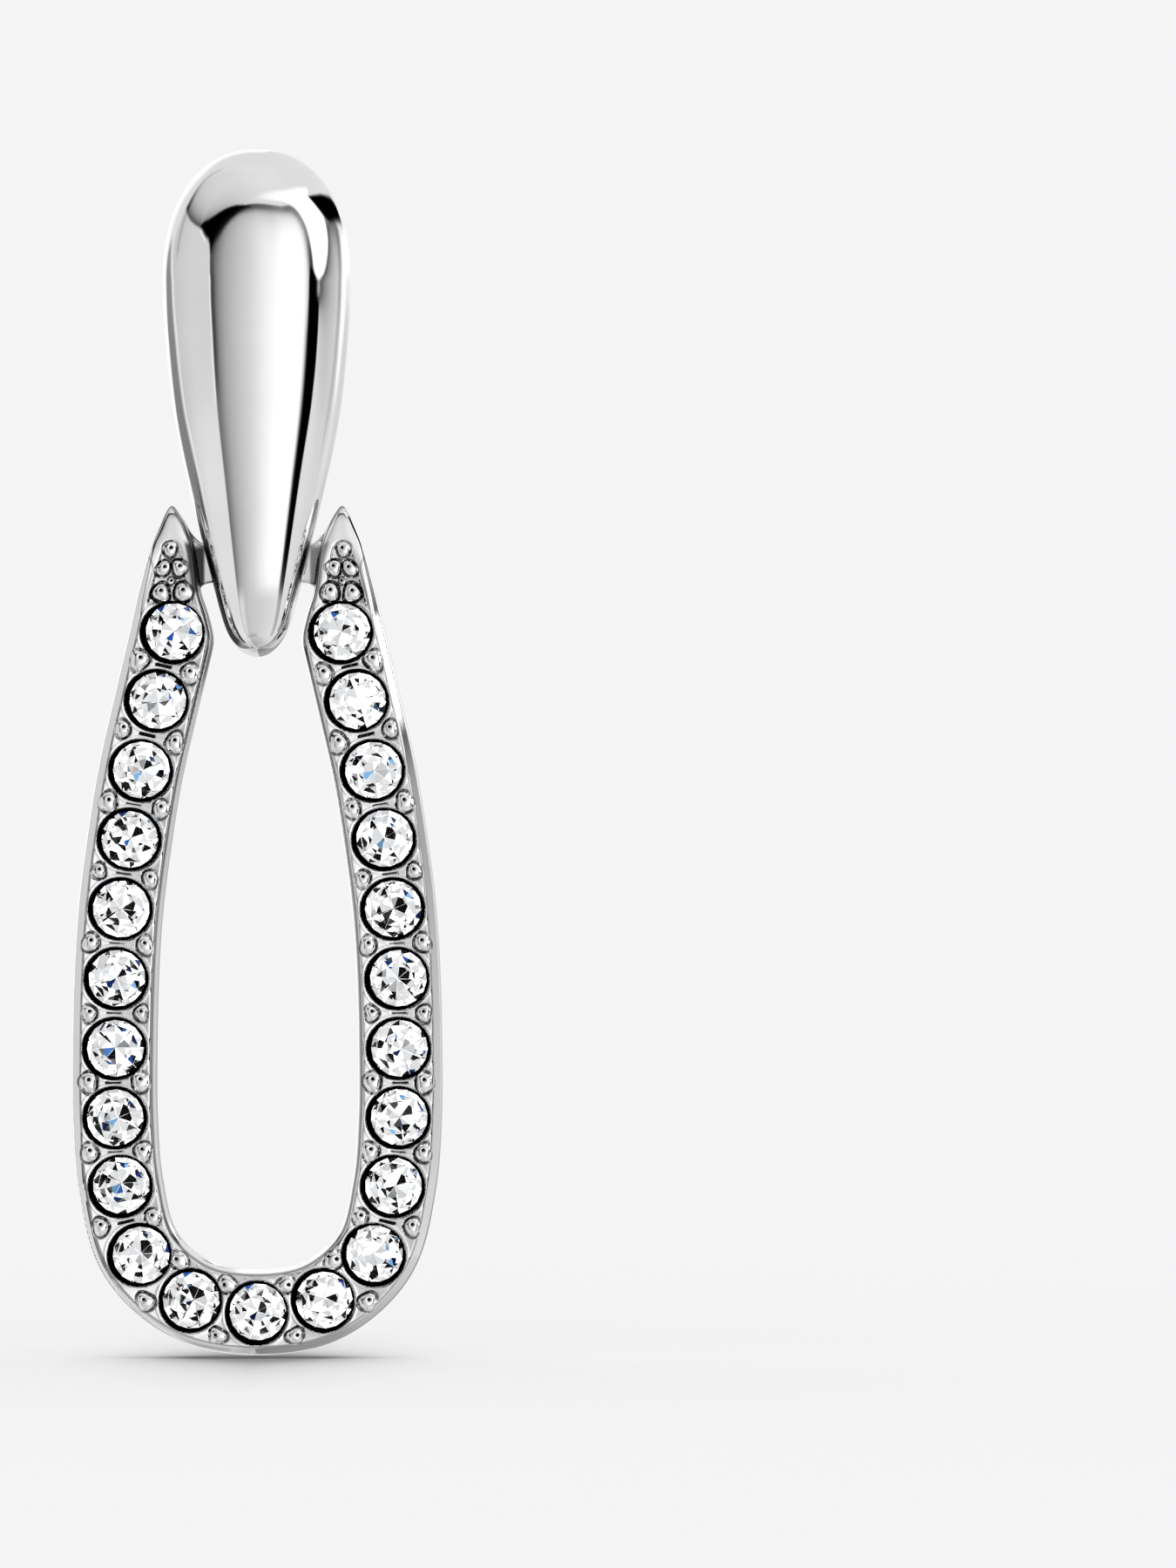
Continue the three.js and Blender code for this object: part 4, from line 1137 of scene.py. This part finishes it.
    # grey haze under the wing's right edge, lighter away from it
    q, _ = segment_distance(az, el, [(83, 0), (90, 2), (96, 5), (101, 9), (106, 14), (111, 19), (118, 20), (130, 18)], closed=False)
    haze = [(83, 0.6), (90, 2.8), (96, 6), (101, 10), (106, 15), (109, 20), (112, 26), (130, 24), (140, 14), (134, 9), (131, 3), (131, -8),
            (126, -24), (90, -24), (84, -10)]
    hz = 221 - np.interp(az, [84, 92, 110, 130], [150, 140, 126, 118]) * np.exp(-q / np.interp(az, [84, 88, 100, 112, 130], [1.6, 3.0, 6.4, 9, 9]))
    g = mix(g, poly_mask(az, el, haze, 1.2), hz)
    thin, _ = segment_distance(az, el, [(134, 15), (129, 10), (126, 4), (124, -3), (120, -9)], closed=False)
    g = g - np.interp(el, [-16, -8, 0, 12], [10, 26, 36, 30]) * np.exp(-(thin / 3.4) ** 2)
    patch = [(101.5, 41.5), (106, 40.3), (112, 38.3), (118, 36), (124, 33.5), (130, 31), (136, 27.8), (142, 24.4), (148, 21), (154, 17.8),
             (159, 14.4), (163, 11.2), (160, 10.4), (156, 10.4), (150, 12.5), (142, 14.7), (134, 17.2), (126, 19),
             (120, 20.6), (115, 23), (110.5, 27), (106.5, 32), (103.5, 37)]
    g = mix(g, poly_mask(az, el, patch, 1.3), 1.0)
    side = [(131, 0), (133.5, 7), (139, 11), (148, 10.8), (157, 9), (166, 7.5), (176, 6), (176, 3), (165, 2.5), (150, 2.5), (140, -2.5), (133, -4.5)]
    g = mix(g, poly_mask(az, el, side, 1.8), 252.0)
    g = g - 14 * smoothstep(138, 152, az) * smoothstep(4, 0, el) * smoothstep(-30, -20, el)
    return g


def glass_colour(az, el):
    """What the crystals see: the same soft box broken by many small flags, so each facet takes its own tone."""
    a, e = np.radians(az), np.radians(el)
    v = np.stack([np.sin(a) * np.cos(e), -np.cos(a) * np.cos(e), np.sin(e)], -1)
    r = np.random.default_rng(11)
    n = 380
    k = np.arange(n) + 0.5
    phi, th = np.arccos(1 - 2 * k / n), math.pi * (1 + 5 ** 0.5) * k
    seeds = np.stack([np.cos(th) * np.sin(phi), np.cos(phi), np.sin(th) * np.sin(phi)], 1)
    seeds += r.normal(0, 0.06, seeds.shape)
    seeds /= np.linalg.norm(seeds, axis=1, keepdims=True)
    off = np.degrees(np.arccos(np.clip(-seeds[:, 1], -1, 1)))       # how far round from straight in front
    share = r.random(n)
    black = np.interp(off, [0, 15, 40, 60, 80], [0.18, 0.21, 0.25, 0.32, 0.40])
    dull = black + np.interp(off, [0, 40, 70], [0.01, 0.02, 0.04])
    grey = dull + np.interp(off, [0, 40, 70], [0.03, 0.04, 0.06])
    pale = grey + 0.345
    kind = (share > black).astype(int) + (share > dull) + (share > grey) + (share > pale)
    low = np.array([1.0, 80.0, 160.0, 212.0, 262.0])[kind]
    high = np.array([8.0, 140.0, 204.0, 240.0, 300.0])[kind]
    tone = low + (high - low) * r.random(n)
    near = np.argmax(v.reshape(-1, 3) @ seeds.T, axis=1)
    t = tone[near].reshape(az.shape)
    light = srgb(np.minimum(t, 255)) * np.where(t > 255, 1 + (t - 255) / 40.0, 1)
    col = np.repeat(light[..., None], 3, -1)
    # a few facets split the light into blue
    dark = seeds[kind == 0]
    dark = dark[np.argsort(dark[:, 1])]
    for i in (1, 12):
        c = dark[i]
        side = np.cross(c, (0, 0, 1.0))
        side /= np.linalg.norm(side)
        d = np.degrees(np.arccos(np.clip(v @ c, -1, 1)))
        u = np.degrees(v @ side)
        ramp = np.stack([np.interp(u, [-3, 0, 2, 4], q) for q in ([0.001, 0.004, 0.02, 0.30], [0.002, 0.02, 0.12, 0.62], [0.015, 0.14, 0.50, 0.95])], -1)
        m = ((d < 4.6) & (u > -3))[..., None]
        col = np.where(m, ramp, col)
    return col


def tent():
    R = 1200.0
    az = np.linspace(-180, 180, 401)[:-1]
    el = np.concatenate([np.linspace(-89.5, -44, 24)[:-1], np.linspace(-44, 66, 148)[:-1], np.linspace(66, 89.5, 14)])
    nu, nv = len(az), len(el)
    A, E = np.meshgrid(az, el, indexing="ij")
    g = tent_grey(A, E)
    light = srgb(np.minimum(g, 255)) * np.where(g > 255, 1 + (g - 255) / 40.0, 1) / 0.86
    a, e = np.radians(A), np.radians(E)
    v = np.stack([R * np.sin(a) * np.cos(e), -R * np.cos(a) * np.cos(e), R * np.sin(e) - 4], -1).reshape(-1, 3)
    faces = []
    for i in range(nu):
        j = (i + 1) % nu
        for k in range(nv - 1):
            faces.append((i * nv + k, j * nv + k, j * nv + k + 1, i * nv + k + 1))
    faces.append(tuple(i * nv for i in range(nu)))
    faces.append(tuple(i * nv + nv - 1 for i in reversed(range(nu))))
    ob = make_object("light_tent", v, faces)
    at = ob.data.attributes.new("panel", "FLOAT", "POINT")
    at.data.foreach_set("value", light.reshape(-1).astype(np.float32))
    col = glass_colour(A, E).reshape(-1, 3)
    col = np.concatenate([col, np.ones((len(col), 1))], 1)
    at = ob.data.attributes.new("flags", "FLOAT_COLOR", "POINT")
    at.data.foreach_set("color", col.reshape(-1).astype(np.float32))
    m = bpy.data.materials.new("tent_panels")
    m.use_nodes = True
    nt = m.node_tree
    nt.nodes.remove(nt.nodes["Principled BSDF"])
    L = nt.links.new
    em = add(nt, "ShaderNodeEmission")
    a = add(nt, "ShaderNodeAttribute", attribute_name="panel")
    L(a.outputs["Fac"], em.inputs["Strength"])
    em2 = add(nt, "ShaderNodeEmission")
    a2 = add(nt, "ShaderNodeAttribute", attribute_name="flags")
    L(a2.outputs["Color"], em2.inputs["Color"])
    path = add(nt, "ShaderNodeLightPath")
    through = add(nt, "ShaderNodeMath", operation="GREATER_THAN")
    through.inputs[1].default_value = 0.5
    L(path.outputs["Transmission Depth"], through.inputs[0])
    mixer = add(nt, "ShaderNodeMixShader")
    L(through.outputs["Value"], mixer.inputs["Fac"])
    L(em.outputs["Emission"], mixer.inputs[1])
    L(em2.outputs["Emission"], mixer.inputs[2])
    L(mixer.outputs["Shader"], nt.nodes["Material Output"].inputs["Surface"])
    ob.data.materials.append(m)
    ob.visible_camera = False
    ob.visible_diffuse = False
    ob.visible_shadow = False
    return ob


tent()

cam_data = bpy.data.cameras.new("camera")
cam = bpy.data.objects.new("camera", cam_data)
scene.collection.objects.link(cam)
scene.camera = cam
cam_data.sensor_fit = "VERTICAL"
cam_data.sensor_height = 24.0
# the frame is 1800/36 = 50 mm high where the loop's face is
cam_data.lens = 24.0 * DIST / (1800 / PX)
cam_data.clip_start, cam_data.clip_end = 0.01, 20.0
cam.location = (CENTRE[0] * MM, (-DIST - 0.5) * MM, CENTRE[1] * MM)
cam.rotation_euler = (math.radians(90), 0, 0)
